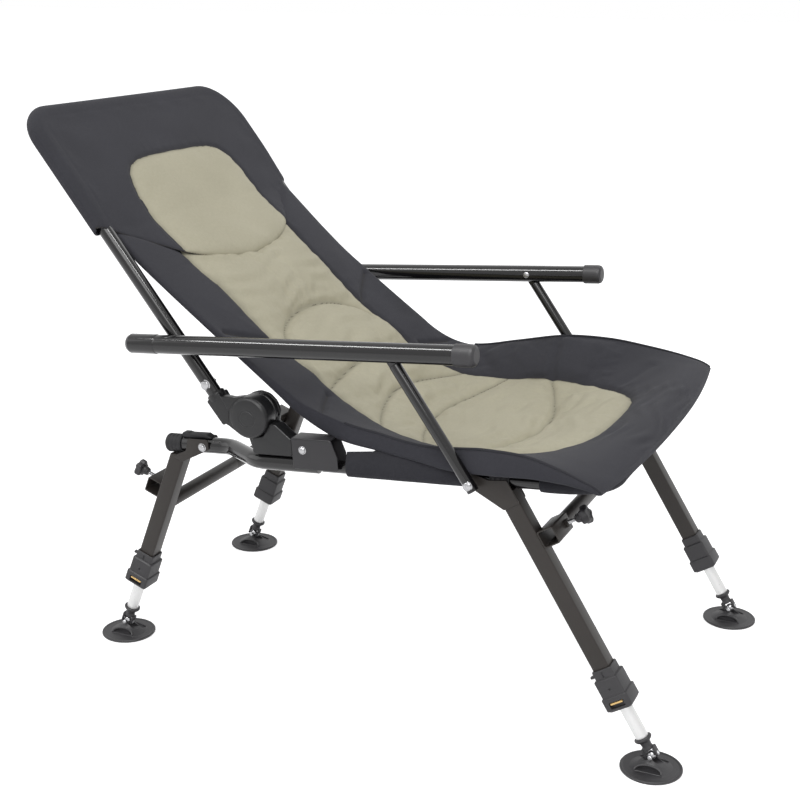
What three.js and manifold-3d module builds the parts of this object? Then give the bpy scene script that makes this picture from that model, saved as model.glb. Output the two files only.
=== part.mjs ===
import * as THREE from 'three';
import { mergeVertices } from 'three/addons/utils/BufferGeometryUtils.js';
import Module from 'manifold-3d';

const wasm = await Module();
wasm.setup();

// Driving dimensions in millimetres: X forward, Y to the sitter's left, Z up, floor at zero.
const chassis = { height: 372.4, pitch: 4.27 };
const clearance = { fit: 0.3, slide: 0.5, pin: 0.5, pivot: 1 };
const overrun = 2;
const weld = 0.0005;

const rearRail = {
  radius: 12.5, wall: 1.6, innerY: 209, tail: 47.2, bendFromX: -240, bendToX: -166, frontX: -62,
};
const seatRail = {
  radius: 9.5, wall: 1.4, y: 260.5, rearX: -56, frontX: 368, bend: 52,
};
const hub = {
  x: -164.2, lift: 70, radius: 31, outerY: 284, cover: 7, armInnerY: 251, drumInnerY: 236,
  drumRadius: 30,
};
const back = {
  tilt: 38.3, offset: 33.5, tube: 10.75, wall: 1.5, y: 264, foot: 12, top: 548, bend: 72,
  armPivot: 153.5, boltAt: 77,
};
const socketArm = { mouth: 56, shoulder: 50, heel: 22, toe: 10, half: 12.8 };
const hubBase = { rearGap: 1, shoulder: 27, tongue: 34, tongueDrop: 6, tongueHalf: 11.5 };
const bracket = {
  sheet: 2.5, rearX: -97.5, frontX: -25, noseX: -31, height: 43, nose: 15, depth: 9, inner: 13,
  boltX: -80.2, boltLift: 26,
};
const bolt = { shank: 4, head: 6.5, headDepth: 4, small: 3 };
const armrest = {
  y: 291, radius: 14, wall: 1.5, pitch: 4.6, rearGrip: 72, rearGripTo: -20, front: 450,
  strutAt: 350.4, slot: 17, slotWidth: 8, gripWall: 1.4, frontGrip: 31, frontGripOverlap: 14,
};
const strut = { radius: 8.5, wall: 1.4, tail: 10.5, ear: 8, earThick: 6, neck: 27 };
const leg = { size: 25.4, wall: 1.7, ankle: 22 };
const frontLeg = {
  reach: 449, y: 260.5, tilt: 32.1, foot: 103, top: 432, barAt: 327, socketAt: 337, overhang: 12,
  cheekDrop: 36, socketSide: 1, knobY: 228.5, pinHead: 2, headOffset: -36.55,
};
const rearLeg = {
  reach: 449, y: 209, tilt: 20.8, foot: 103, top: 350, barAt: 234, socketAt: 254.5, overhang: 8,
  cheekDrop: 24, socketSide: -1, knobY: 186, pinHead: 4, headOffset: 41.22,
};
const cheek = { sheet: 2.5, nose: 11 };
const crossbar = { radius: 11.2 };
const socket = { size: 25.4, wall: 1.7, length: 60 };
const knob = {
  radius: 14, depth: 11, hubRadius: 7, hubDepth: 10, screw: 3, bare: 17, screwReach: 5,
};
const railCap = { radius: 14.5, length: 31, bore: 7, rib: 1, ribs: 3 };
const bumper = { fromEnd: 8, length: 56, width: 15, depth: 7, taper: 12 };
const saddle = { fromPivot: 22, length: 28, wall: 2.6 };
const inner = { radius: 9.5, wall: 1.5, length: 210 };
const plug = { rim: 28, flange: 12.5, waist: 8.2, shoulder: 5, length: 18.8, spigot: 12 };
const collar = {
  foot: 80, length: 48, lower: 20, upper: 18, band: 21.5, neck: 13, neckHalf: 14.7, slot: 21,
  slotHeight: 7, slotAt: 9, slotDepth: 6, bore: 10.2,
};
const lockPlate = { thick: 2.4, width: 19, lift: 1 };
const foot = {
  radius: 43.5, rim: 4, domeRadius: 26, dome: 12, ear: 4, earGap: 14.4, earHalf: 6, pin: 2.5,
  knuckle: 20, prong: 3, prongHalf: 5.5, prongDrop: 4, crownGap: 2.2,
};
const pad = {
  half: 251, edge: 6, middle: 15, hollow: 13, tuck: 10, sag: 6.5, channel: 3, channelWidth: 9,
  patch: 153, archTop: 112, archDrop: 60, archHalf: 140,
};
const waist = { x: -64, z: 426 };
const hood = { half: 284, corner: 92, cover: 3.5, lobe: 232, sideFoot: 341, seam: 1.5, roll: 20 };
const seat = {
  rear: -62, front: 401, deepX: 110, low: 381, rise: 75, thick: 30, corner: 39, patch: 186, arc: 132,
  sheet: 2.5, dip: 55, sleeve: 2.5,
};
const sling = { rear: -14, gapBehind: 19, gapAhead: 92, dipShare: 0.85, liftShare: 0.3 };
const padGrid = { rows: 22, columns: 18 };
const segments = { fine: 18, mid: 12, small: 8, tiny: 6 };
const bendSteps = 4;

// Rows of the seat pad from the waist to the front, as shares of its length, rise, half widths and
// thickness; the cover is drawn lower on the near side than on the far one.
const seatShares = [
  { along: 0, near: 0.693, far: 0.68, middle: 0.36, half: 0.859, corner: 0, thick: 0.5, wall: 0.4 },
  { along: 0.134, near: 0.7, far: 0.747, middle: 0.2, half: 0.893, corner: 0, thick: 0.73, wall: 0.6 },
  { along: 0.263, near: 0.623, far: 0.84, middle: 0.027, half: 0.921, corner: 0, thick: 0.93, wall: 0.73 },
  { along: 0.404, near: 0.604, far: 0.953, middle: 0, half: 0.945, corner: 0, thick: 1, wall: 0.73 },
  { along: 0.544, near: 0.747, far: 1, middle: 0.067, half: 0.966, corner: 0, thick: 0.82, wall: 0.55 },
  { along: 0.652, near: 0.84, far: 0.967, middle: 0.2, half: 1, corner: 0.23, thick: 0.82, wall: 0.55 },
  { along: 0.749, near: 0.835, far: 0.873, middle: 0.4, half: 1, corner: 0.564, thick: 0.82, wall: 0.62 },
  { along: 0.857, near: 0.74, far: 0.707, middle: 0.653, half: 1, corner: 0.82, thick: 0.76, wall: 0.6 },
  { along: 0.929, near: 0.64, far: 0.587, middle: 0.76, half: 1, corner: 1, thick: 0.7, wall: 0.35 },
  { along: 0.974, near: 0.453, far: 0.4, middle: 0.65, half: 1, corner: 0.974, thick: 0.6, wall: 0.35 },
  { along: 1, near: 0.307, far: 0.28, middle: 0.33, half: 1, corner: 0.795, thick: 0.4, wall: 0.27 },
];
const seatShapeShares = { rise: 2.5, round: 6, squash: 0.75, from: 0.1, to: 0.75 };
const backShapeShares = { round: 4, hollow: 1.2, waist: 5, tuck: 3, arch: 6, bow: 2.5, waistHollow: 2 };

const deg = Math.PI / 180;
const sides = [{ name: 'right', sign: 1 }, { name: 'left', sign: -1 }];

const paint = {
  gloss: new THREE.MeshStandardMaterial({ color: 0x17171a, roughness: 0.22, metalness: 0.55 }),
  satin: new THREE.MeshStandardMaterial({ color: 0x3b3734, roughness: 0.55, metalness: 0.35 }),
  plastic: new THREE.MeshStandardMaterial({ color: 0x333334, roughness: 0.65, metalness: 0 }),
  zinc: new THREE.MeshStandardMaterial({ color: 0xc9cbcc, roughness: 0.3, metalness: 0.9 }),
  alloy: new THREE.MeshStandardMaterial({ color: 0xdcdddc, roughness: 0.35, metalness: 0.8 }),
  brass: new THREE.MeshStandardMaterial({ color: 0xc98a3c, roughness: 0.35, metalness: 0.8 }),
  border: new THREE.MeshStandardMaterial({ color: 0x45464d, roughness: 0.95, metalness: 0 }),
  patch: new THREE.MeshStandardMaterial({ color: 0xb5b09c, roughness: 0.95, metalness: 0 }),
};

// A closed three.js geometry becomes a solid for cutting and joining.
function toSolid(geometry) {
  const bare = new THREE.BufferGeometry();
  const source = geometry.index ? geometry.toNonIndexed() : geometry;
  bare.setAttribute('position', source.getAttribute('position').clone());
  const merged = mergeVertices(bare, weld);
  return new wasm.Manifold(new wasm.Mesh({
    numProp: 3,
    vertProperties: new Float32Array(merged.getAttribute('position').array),
    triVerts: new Uint32Array(merged.index.array),
  }));
}

// A solid becomes a flat-shaded geometry again.
function toGeometry(solid) {
  const mesh = solid.getMesh();
  const points = new Float32Array(mesh.triVerts.length * 3);
  mesh.triVerts.forEach((vertex, i) => {
    for (let axis = 0; axis < 3; axis += 1) {
      points[i * 3 + axis] = mesh.vertProperties[vertex * mesh.numProp + axis];
    }
  });
  const geometry = new THREE.BufferGeometry();
  geometry.setAttribute('position', new THREE.BufferAttribute(points, 3));
  geometry.computeVertexNormals();
  return geometry;
}

// Joins and cuts with lists.
function join(...solids) {
  return solids.reduce((sum, solid) => sum.add(solid));
}

function cut(body, ...tools) {
  return tools.reduce((rest, tool) => rest.subtract(tool), body);
}

// A block given by its lower and upper limits on each axis.
function block(x, y, z) {
  const geometry = new THREE.BoxGeometry(x[1] - x[0], y[1] - y[0], z[1] - z[0]);
  geometry.translate((x[0] + x[1]) / 2, (y[0] + y[1]) / 2, (z[0] + z[1]) / 2);
  return toSolid(geometry);
}

// A rod between two points, or a cone when the end radii differ.
function rod(from, to, radius, count, endRadius = radius) {
  const a = new THREE.Vector3(...from);
  const b = new THREE.Vector3(...to);
  const geometry = new THREE.CylinderGeometry(endRadius, radius, a.distanceTo(b), count);
  const turn = new THREE.Quaternion().setFromUnitVectors(
    new THREE.Vector3(0, 1, 0),
    b.clone().sub(a).normalize(),
  );
  geometry.applyQuaternion(turn);
  geometry.translate((a.x + b.x) / 2, (a.y + b.y) / 2, (a.z + b.z) / 2);
  return toSolid(geometry);
}

// A rod across the chair, along Y.
function crossRod(x, z, yFrom, yTo, radius, count) {
  return rod([x, yFrom, z], [x, yTo, z], radius, count);
}

// An outline in X and Z drawn out along Y.
function plate(outline, yFrom, yTo) {
  const shape = new THREE.Shape(outline.map((p) => new THREE.Vector2(p[0], p[1])));
  const geometry = new THREE.ExtrudeGeometry(shape, { depth: yTo - yFrom, bevelEnabled: false });
  geometry.rotateX(Math.PI / 2);
  geometry.translate(0, yTo, 0);
  return toSolid(geometry);
}

// A turned piece round the Z axis from pairs of radius and height.
function turned(profile, count) {
  const geometry = new THREE.LatheGeometry(profile.map((p) => new THREE.Vector2(p[0], p[1])), count);
  geometry.rotateX(Math.PI / 2);
  return toSolid(geometry);
}

// A path whose stations are exactly the points of its list.
class StationPath extends THREE.Curve {
  constructor(points) {
    super();
    this.points = points;
  }

  getPoint(t) {
    const place = t * (this.points.length - 1);
    const i = Math.min(Math.floor(place), this.points.length - 2);
    return this.points[i].clone().lerp(this.points[i + 1], place - i);
  }

  getPointAt(u) {
    return this.getPoint(u);
  }

  getTangentAt(u) {
    const last = this.points.length - 1;
    const i = Math.round(u * last);
    const before = this.points[Math.max(i - 1, 0)];
    const after = this.points[Math.min(i + 1, last)];
    const here = this.points[i];
    const tangent = new THREE.Vector3();
    if (i > 0) tangent.add(here.clone().sub(before).normalize());
    if (i < last) tangent.add(after.clone().sub(here).normalize());
    return tangent.normalize();
  }
}

// A round tube or, with no wall, a round rod along listed points.
function sweptTube(points, radius, wall, count) {
  const ring = (r) => Array.from({ length: count }, (_, i) => new THREE.Vector2(
    r * Math.cos((i / count) * 2 * Math.PI),
    r * Math.sin((i / count) * 2 * Math.PI),
  ));
  const shape = new THREE.Shape(ring(radius));
  if (wall > 0) shape.holes.push(new THREE.Path(ring(radius - wall).reverse()));
  const path = new StationPath(points.map((p) => new THREE.Vector3(...p)));
  const steps = points.length - 1;
  return toSolid(new THREE.ExtrudeGeometry(shape, { steps, extrudePath: path, bevelEnabled: false }));
}

// The points of a corner of given radius between three points.
function corner(a, b, c, radius, steps) {
  const vb = new THREE.Vector3(...b);
  const toA = new THREE.Vector3(...a).sub(vb).normalize();
  const toC = new THREE.Vector3(...c).sub(vb).normalize();
  const half = toA.angleTo(toC) / 2;
  const reach = radius / Math.tan(half);
  const centre = toA.clone().add(toC).normalize().multiplyScalar(radius / Math.sin(half)).add(vb);
  const start = toA.multiplyScalar(reach).add(vb).sub(centre);
  const end = toC.multiplyScalar(reach).add(vb).sub(centre);
  const axis = start.clone().cross(end).normalize();
  const turn = start.angleTo(end);
  return Array.from({ length: steps + 1 }, (_, i) => start.clone()
    .applyAxisAngle(axis, (turn * i) / steps).add(centre).toArray());
}

// Local frames: a tilt about Y, then a move in X and Z.
function frameAt(x, z, pitch) {
  const turn = pitch * deg;
  return {
    place: (solid) => solid.rotate([0, pitch, 0]).translate([x, 0, z]),
    point: (lx, lz) => [
      x + lx * Math.cos(turn) + lz * Math.sin(turn),
      z - lx * Math.sin(turn) + lz * Math.cos(turn),
    ],
    local: (wx, wz) => [
      (wx - x) * Math.cos(turn) - (wz - z) * Math.sin(turn),
      (wx - x) * Math.sin(turn) + (wz - z) * Math.cos(turn),
    ],
  };
}

const chassisFrame = frameAt(0, chassis.height, -chassis.pitch);
const hubPoint = chassisFrame.point(hub.x, hub.lift);
const frontLegFrame = frameAt(frontLeg.reach, leg.ankle, -frontLeg.tilt);
const rearLegFrame = frameAt(-rearLeg.reach, leg.ankle, rearLeg.tilt);

// Each leg turns about a pin on the rails, set off from the place where its centre line meets them.
function pinX(frame, data) {
  const low = chassisFrame.local(...frame.point(0, 0));
  const high = chassisFrame.local(...frame.point(0, data.top));
  return low[0] + ((high[0] - low[0]) * low[1]) / (low[1] - high[1]) + data.headOffset;
}
const frontPivotX = pinX(frontLegFrame, frontLeg);
const rearPivotX = pinX(rearLegFrame, rearLeg);
const railRearX = rearPivotX - rearRail.tail;
const frontPivot = chassisFrame.point(frontPivotX, 0);
const rearPivot = chassisFrame.point(rearPivotX, 0);
const backFrame = frameAt(hubPoint[0], hubPoint[1], -back.tilt);
const armPivot = backFrame.point(-back.offset, back.armPivot);
const armFrame = frameAt(armPivot[0], armPivot[1], -armrest.pitch);
const strutPivot = armFrame.point(armrest.strutAt, 0);
const strutLean = Math.atan2(strutPivot[0] - frontPivot[0], strutPivot[1] - frontPivot[1]) / deg;
const strutLength = Math.hypot(strutPivot[0] - frontPivot[0], strutPivot[1] - frontPivot[1]);
const strutFrame = frameAt(frontPivot[0], frontPivot[1], strutLean);

// The scene graph: one group for each thing that moves, at its pivot.
const chair = new THREE.Group();
const groups = {};

function group(name, point, y = 0) {
  const made = new THREE.Group();
  made.name = name;
  made.position.set(point[0], y, point[1]);
  chair.add(made);
  groups[name] = made;
}

function add(groupName, name, solid, material) {
  const home = groups[groupName];
  const geometry = toGeometry(solid);
  geometry.translate(-home.position.x, -home.position.y, -home.position.z);
  const mesh = new THREE.Mesh(geometry, material);
  mesh.name = name;
  home.add(mesh);
}

// Adds the right-hand solid and its mirror image across the middle plane.
function addPair(groupName, name, solid, material) {
  for (const side of sides) {
    const home = groups[groupName] ? groupName : `${groupName}_${side.name}`;
    const shaped = side.sign > 0 ? solid : solid.mirror([0, 1, 0]);
    add(home, `${name}_${side.name}`, shaped, material);
  }
}

group('seat', [0, 0]);
group('recline', hubPoint);
group('front_fold', frontPivot);
group('rear_fold', rearPivot);
for (const side of sides) {
  const y = -side.sign;
  group(`arm_${side.name}`, armPivot, y * armrest.y);
  group(`strut_${side.name}`, strutPivot, y * armrest.y);
}

// Outline helpers.
function circlePoints(x, z, radius, count, from = 0, to = 360) {
  const closed = to - from === 360;
  return Array.from({ length: closed ? count : count + 1 }, (_, i) => {
    const angle = (from + ((to - from) * i) / count) * deg;
    return [x + radius * Math.cos(angle), z + radius * Math.sin(angle)];
  });
}

// A bolt head with its shank across the chair; the head is on the outer side.
function crossBolt(x, z, outerY, innerY, head = bolt.head, shank = bolt.shank) {
  return join(
    crossRod(x, z, -outerY - bolt.headDepth, -outerY, head, segments.small),
    crossRod(x, z, -outerY - clearance.fit, -innerY, shank, segments.small),
  );
}

// Rear rails: bent tubes that carry the hubs and the rear legs.
const railPoints = (() => {
  const rear = [railRearX, -rearRail.innerY, 0];
  const from = [rearRail.bendFromX, -rearRail.innerY, 0];
  const to = [rearRail.bendToX, -seatRail.y, 0];
  const front = [rearRail.frontX, -seatRail.y, 0];
  const radius = rearRail.radius * 4;
  return [rear, ...corner(rear, from, to, radius, bendSteps - 2),
    ...corner(from, to, front, radius, bendSteps - 2), front];
})();
const rearRailSolid = cut(
  sweptTube(railPoints, rearRail.radius, rearRail.wall, segments.mid),
  crossRod(rearPivotX, 0, -rearRail.innerY - leg.size, -rearRail.innerY + leg.size,
    bolt.shank + clearance.pin, segments.small),
);
addPair('seat', 'rear_rail', chassisFrame.place(rearRailSolid), paint.satin);

// Ribbed end caps on the rear rails.
const capProfile = [[0, 0], [railCap.radius * 0.62, 0], [railCap.radius * 0.92, railCap.radius * 0.22]];
for (let i = 0; i < railCap.ribs; i += 1) {
  const pitch = (railCap.length - railCap.radius * 0.3) / railCap.ribs;
  const start = railCap.radius * 0.3 + i * pitch;
  capProfile.push([railCap.radius, start], [railCap.radius, start + pitch / 2]);
  capProfile.push([railCap.radius - railCap.rib, start + pitch / 2]);
  capProfile.push([railCap.radius - railCap.rib, start + pitch]);
}
capProfile.push([0, railCap.length]);
const railEnd = railRearX - clearance.fit;
const capSolid = cut(
  turned(capProfile, segments.mid).rotate([0, 90, 0])
    .translate([railEnd - railCap.length + railCap.bore, -rearRail.innerY, 0]),
  rod([railEnd, -rearRail.innerY, 0], [railEnd + railCap.length, -rearRail.innerY, 0],
    rearRail.radius + clearance.fit, segments.mid),
);
addPair('seat', 'rear_rail_cap', chassisFrame.place(capSolid), paint.plastic);

// Rubber strips on top of the rear rails.
const bumperRear = railRearX + bumper.fromEnd;
const bumperFoot = rearRail.radius + clearance.fit;
const bumperFront = bumperRear + bumper.length;
const bumperSolid = plate([
  [bumperRear, bumperFoot],
  [bumperFront, bumperFoot],
  [bumperFront - bumper.taper, bumperFoot + bumper.depth],
  [bumperRear, bumperFoot + bumper.depth],
], -rearRail.innerY - bumper.width / 2, -rearRail.innerY + bumper.width / 2);
addPair('seat', 'rail_bumper', chassisFrame.place(bumperSolid), paint.plastic);

// Seat rail: one U-shaped tube that runs forward on both sides and across the front.
const seatCorner = (sign) => [
  [seatRail.rearX, sign * seatRail.y, 0],
  [seatRail.frontX, sign * seatRail.y, 0],
  [seatRail.frontX, 0, 0],
];
const seatRailPoints = [
  seatCorner(-1)[0],
  ...corner(...seatCorner(-1), seatRail.bend, bendSteps),
  ...corner(...seatCorner(1).reverse(), seatRail.bend, bendSteps),
  seatCorner(1)[0],
];
const pinHole = bolt.shank + clearance.pin;
const railPinX = (seatRail.rearX + bracket.frontX) / 2;
let seatRailSolid = sweptTube(seatRailPoints, seatRail.radius, seatRail.wall, segments.mid);
for (const x of [frontPivotX, railPinX]) {
  seatRailSolid = cut(seatRailSolid, crossRod(x, 0, -seatRail.y - leg.size, seatRail.y + leg.size,
    pinHole, segments.small));
}
add('seat', 'seat_rail', chassisFrame.place(seatRailSolid), paint.gloss);

// Folded channel brackets that join the rear rails to the seat rail.
const bracketOuter = seatRail.y + bracket.inner + bracket.sheet;
const bracketInner = seatRail.y - bracket.inner - bracket.sheet;
const bracketSolid = join(
  cut(
    plate([
      [bracket.rearX, -bracket.depth],
      [bracket.frontX, -bracket.depth],
      [bracket.frontX, bracket.nose],
      [bracket.noseX, bracket.height],
      [bracket.rearX, bracket.height],
    ], -bracketOuter, -bracketInner),
    block([bracket.rearX - overrun, bracket.frontX + overrun],
      [-seatRail.y - bracket.inner, -seatRail.y + bracket.inner],
      [-bracket.depth - overrun, bracket.height - bracket.sheet]),
  ),
  crossBolt(bracket.boltX, bracket.boltLift, bracketOuter - clearance.fit, bracketInner),
  crossRod(railPinX, 0, -bracketOuter + clearance.fit, -bracketInner - clearance.fit, bolt.shank,
    segments.small),
);
addPair('seat', 'rail_bracket', chassisFrame.place(bracketSolid), paint.satin);

// Recline hubs: a base that sits on the rear rail, an arm that holds the back tube, and a cover.
const armOuter = hub.outerY - hub.cover - clearance.fit;
const baseOuter = seatRail.y + bracket.inner;
const baseInner = seatRail.y - bracket.inner;
const drumOuter = hub.armInnerY - clearance.slide;
const baseRear = rearRail.bendToX + hubBase.rearGap;
const baseFront = bracket.rearX - clearance.slide;
const baseTop = hub.lift - hub.radius;
const hubBaseSolid = join(
  cut(
    plate([
      [baseRear, 0],
      [baseFront, 0],
      [baseFront, bracket.height - clearance.slide],
      [hub.x + hub.radius + hubBase.rearGap, hub.lift - hubBase.shoulder / 2],
      [baseRear, baseTop + hubBase.shoulder / 2],
    ], -baseOuter, -baseInner),
    crossRod(hub.x, hub.lift, -baseOuter - overrun, -drumOuter, hub.radius + clearance.slide,
      segments.fine),
  ),
  plate([
    [hub.x - hub.drumRadius / 2, bracket.depth],
    [hub.x + hub.drumRadius, bracket.depth],
    [hub.x + hub.drumRadius, hub.lift],
    [hub.x - hub.drumRadius, hub.lift],
  ], -drumOuter, -hub.drumInnerY - clearance.pivot),
  crossRod(hub.x, hub.lift, -drumOuter, -hub.drumInnerY, hub.drumRadius, segments.fine),
  crossRod(hub.x, hub.lift, -armOuter + clearance.pivot, -drumOuter + overrun, bolt.shank * 2,
    segments.mid),
  block([baseFront - overrun, baseFront + hubBase.tongue],
    [-seatRail.y - hubBase.tongueHalf, -seatRail.y + hubBase.tongueHalf],
    [rearRail.radius + clearance.fit, bracket.height - hubBase.tongueDrop]),
);
const railSeat = sweptTube(railPoints, rearRail.radius + clearance.fit, 0, segments.mid);
const hubBaseCut = cut(
  hubBaseSolid,
  railSeat,
  crossRod(bracket.boltX, bracket.boltLift, -bracketOuter, -bracketInner, pinHole, segments.small),
  block([baseRear - overrun, baseFront + hubBase.tongue + overrun],
    [-bracketOuter, -bracketInner + overrun], [-rearRail.radius, 0]),
);
addPair('seat', 'hub_base', chassisFrame.place(hubBaseCut), paint.plastic);

const armLeft = -back.offset - socketArm.half;
const armRight = -back.offset + socketArm.half;
const armHeelShare = 0.7;
const armToeShare = 1.18;
const hubArmSolid = cut(
  join(
    plate([
      [armLeft, socketArm.mouth],
      [armLeft, socketArm.heel],
      [-hub.radius * armToeShare, socketArm.toe],
      [-hub.radius * armHeelShare, -hub.radius * armHeelShare],
      [0, 0],
      [0, hub.radius],
      [armRight + socketArm.toe, socketArm.shoulder],
      [armRight, socketArm.mouth],
    ], -armOuter, -hub.armInnerY),
    crossRod(0, 0, -armOuter, -hub.armInnerY, hub.radius, segments.fine),
  ),
  rod([-back.offset, -back.y, back.foot - clearance.fit],
    [-back.offset, -back.y, socketArm.mouth + overrun], back.tube + clearance.fit, segments.mid),
  crossRod(0, 0, -armOuter + clearance.fit, -hub.armInnerY + overrun,
    bolt.shank * 2 + clearance.pin, segments.mid),
);
addPair('recline', 'hub_arm', backFrame.place(hubArmSolid), paint.plastic);

const coverEdgeShare = 0.93;
const coverSolid = turned([
  [0, 0],
  [hub.radius, 0],
  [hub.radius, hub.cover * (1 - 1 / 3)],
  [hub.radius * coverEdgeShare, hub.cover],
  [0, hub.cover],
], segments.fine).rotate([90, 0, 0]).translate([0, -hub.outerY + hub.cover, 0]);
addPair('recline', 'hub_cover', backFrame.place(coverSolid), paint.plastic);

// Back tube: one U that rises from both hubs and crosses under the head of the pad.
const backCorner = (sign) => [
  [-back.offset, sign * back.y, back.foot],
  [-back.offset, sign * back.y, back.top],
  [-back.offset, 0, back.top],
];
const backPoints = [
  backCorner(-1)[0],
  ...corner(...backCorner(-1), back.bend, bendSteps),
  ...corner(...backCorner(1).reverse(), back.bend, bendSteps),
  backCorner(1)[0],
];
const armInnerFace = armrest.y - armrest.radius;
const armPin = crossRod(-back.offset, back.armPivot, -armInnerFace - armrest.wall - clearance.pivot,
  -back.y, bolt.shank, segments.small);
const backBolt = join(
  crossRod(-back.offset, back.boltAt, -back.y - back.tube - bolt.headDepth + clearance.pivot,
    -back.y, bolt.head, segments.small),
);
let backTubeSolid = sweptTube(backPoints, back.tube, back.wall, segments.mid);
for (const piece of [armPin, backBolt]) {
  backTubeSolid = join(backTubeSolid, piece, piece.mirror([0, 1, 0]));
}
add('recline', 'back_tube', backFrame.place(backTubeSolid), paint.gloss);

// Armrests: a straight tube with moulded ends.
const slotFront = armrest.strutAt + armrest.slot * 2;
const slotRear = armrest.strutAt - armrest.slot / 4;
const armTube = cut(
  rod([armrest.rearGripTo, -armrest.y, 0], [armrest.front + armrest.frontGripOverlap, -armrest.y, 0],
    armrest.radius, segments.mid),
  rod([armrest.rearGripTo - overrun, -armrest.y, 0],
    [armrest.front + armrest.frontGripOverlap + overrun, -armrest.y, 0],
    armrest.radius - armrest.wall, segments.mid),
  crossRod(0, 0, -armrest.y, -armInnerFace + overrun, pinHole, segments.small),
  block([slotRear, slotFront],
    [-armrest.y - armrest.slotWidth / 2, -armrest.y + armrest.slotWidth / 2],
    [-armrest.radius - overrun, -armrest.radius / 2]),
);
const armRivet = join(
  crossRod(armrest.strutAt, 0, -armrest.y - armrest.radius + armrest.wall / 2,
    -armInnerFace + armrest.wall, bolt.small, segments.small),
  crossRod(armrest.strutAt, 0, -armInnerFace - armrest.wall / 2, -armInnerFace + armrest.wall,
    bolt.head / 2 + bolt.small / 2, segments.small),
);
addPair('arm', 'armrest', armFrame.place(join(armTube, armRivet)), paint.gloss);

const gripDomeShare = 0.35;
const gripNoseShare = 0.7;
const gripFit = armrest.radius - armrest.wall - clearance.slide;
const rearGripSolid = turned([
  [0, 0],
  [armrest.radius * gripNoseShare, 0],
  [armrest.radius, armrest.radius * gripDomeShare],
  [armrest.radius, armrest.rearGrip + armrest.rearGripTo - clearance.fit],
  [gripFit, armrest.rearGrip + armrest.rearGripTo - clearance.fit],
  [gripFit, armrest.rearGrip - bolt.head - clearance.fit],
  [0, armrest.rearGrip - bolt.head - clearance.fit],
], segments.mid).rotate([0, 90, 0]).translate([-armrest.rearGrip, -armrest.y, 0]);
addPair('arm', 'arm_rear_grip', armFrame.place(rearGripSolid), paint.plastic);

const gripOuter = armrest.radius + armrest.gripWall + clearance.fit;
const gripBore = armrest.radius + clearance.slide;
const frontGripSolid = turned([
  [0, armrest.frontGripOverlap + clearance.fit],
  [gripBore, armrest.frontGripOverlap + clearance.fit],
  [gripBore, 0],
  [gripOuter, 0],
  [gripOuter, armrest.frontGrip - gripOuter * gripDomeShare],
  [gripOuter * gripNoseShare, armrest.frontGrip],
  [0, armrest.frontGrip],
], segments.mid).rotate([0, 90, 0]).translate([armrest.front, -armrest.y, 0]);
addPair('arm', 'arm_front_grip', armFrame.place(frontGripSolid), paint.plastic);

// Struts: a tube with a flat ear that is pinned inside the armrest's slot.
const earFoot = strutLength - strut.neck - strut.radius;
const strutSolid = cut(
  join(
    cut(
      rod([0, -armrest.y, -strut.tail], [0, -armrest.y, strutLength - strut.neck], strut.radius,
        segments.mid),
      rod([0, -armrest.y, -strut.tail - overrun], [0, -armrest.y, strutLength - strut.neck + overrun],
        strut.radius - strut.wall, segments.mid),
    ),
    block([-strut.ear, strut.ear],
      [-armrest.y - strut.earThick / 2, -armrest.y + strut.earThick / 2], [earFoot, strutLength]),
    crossRod(0, strutLength, -armrest.y - strut.earThick / 2, -armrest.y + strut.earThick / 2,
      strut.ear, segments.mid),
    crossBolt(0, 0, armrest.y + strut.radius - clearance.pivot, armrest.y - strut.radius),
  ),
  crossRod(0, strutLength, -armrest.y - strut.earThick, -armrest.y + strut.earThick,
    bolt.small + clearance.pin, segments.small),
);
addPair('strut', 'arm_strut', strutFrame.place(strutSolid), paint.gloss);

// Clips that wrap the seat rail where the front leg's head meets it.
const saddleX = frontPivotX + saddle.fromPivot;
const clipInner = seatRail.radius + clearance.fit;
const clipSolid = cut(
  rod([saddleX, -seatRail.y, 0], [saddleX + saddle.length, -seatRail.y, 0],
    clipInner + saddle.wall, segments.mid),
  rod([saddleX - overrun, -seatRail.y, 0], [saddleX + saddle.length + overrun, -seatRail.y, 0],
    clipInner, segments.mid),
  block([saddleX - overrun, saddleX + saddle.length + overrun],
    [-seatRail.y - leg.size, -seatRail.y + leg.size], [-leg.size, -seatRail.radius / 2]),
);
addPair('seat', 'rail_clip', chassisFrame.place(clipSolid), paint.plastic);

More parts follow.
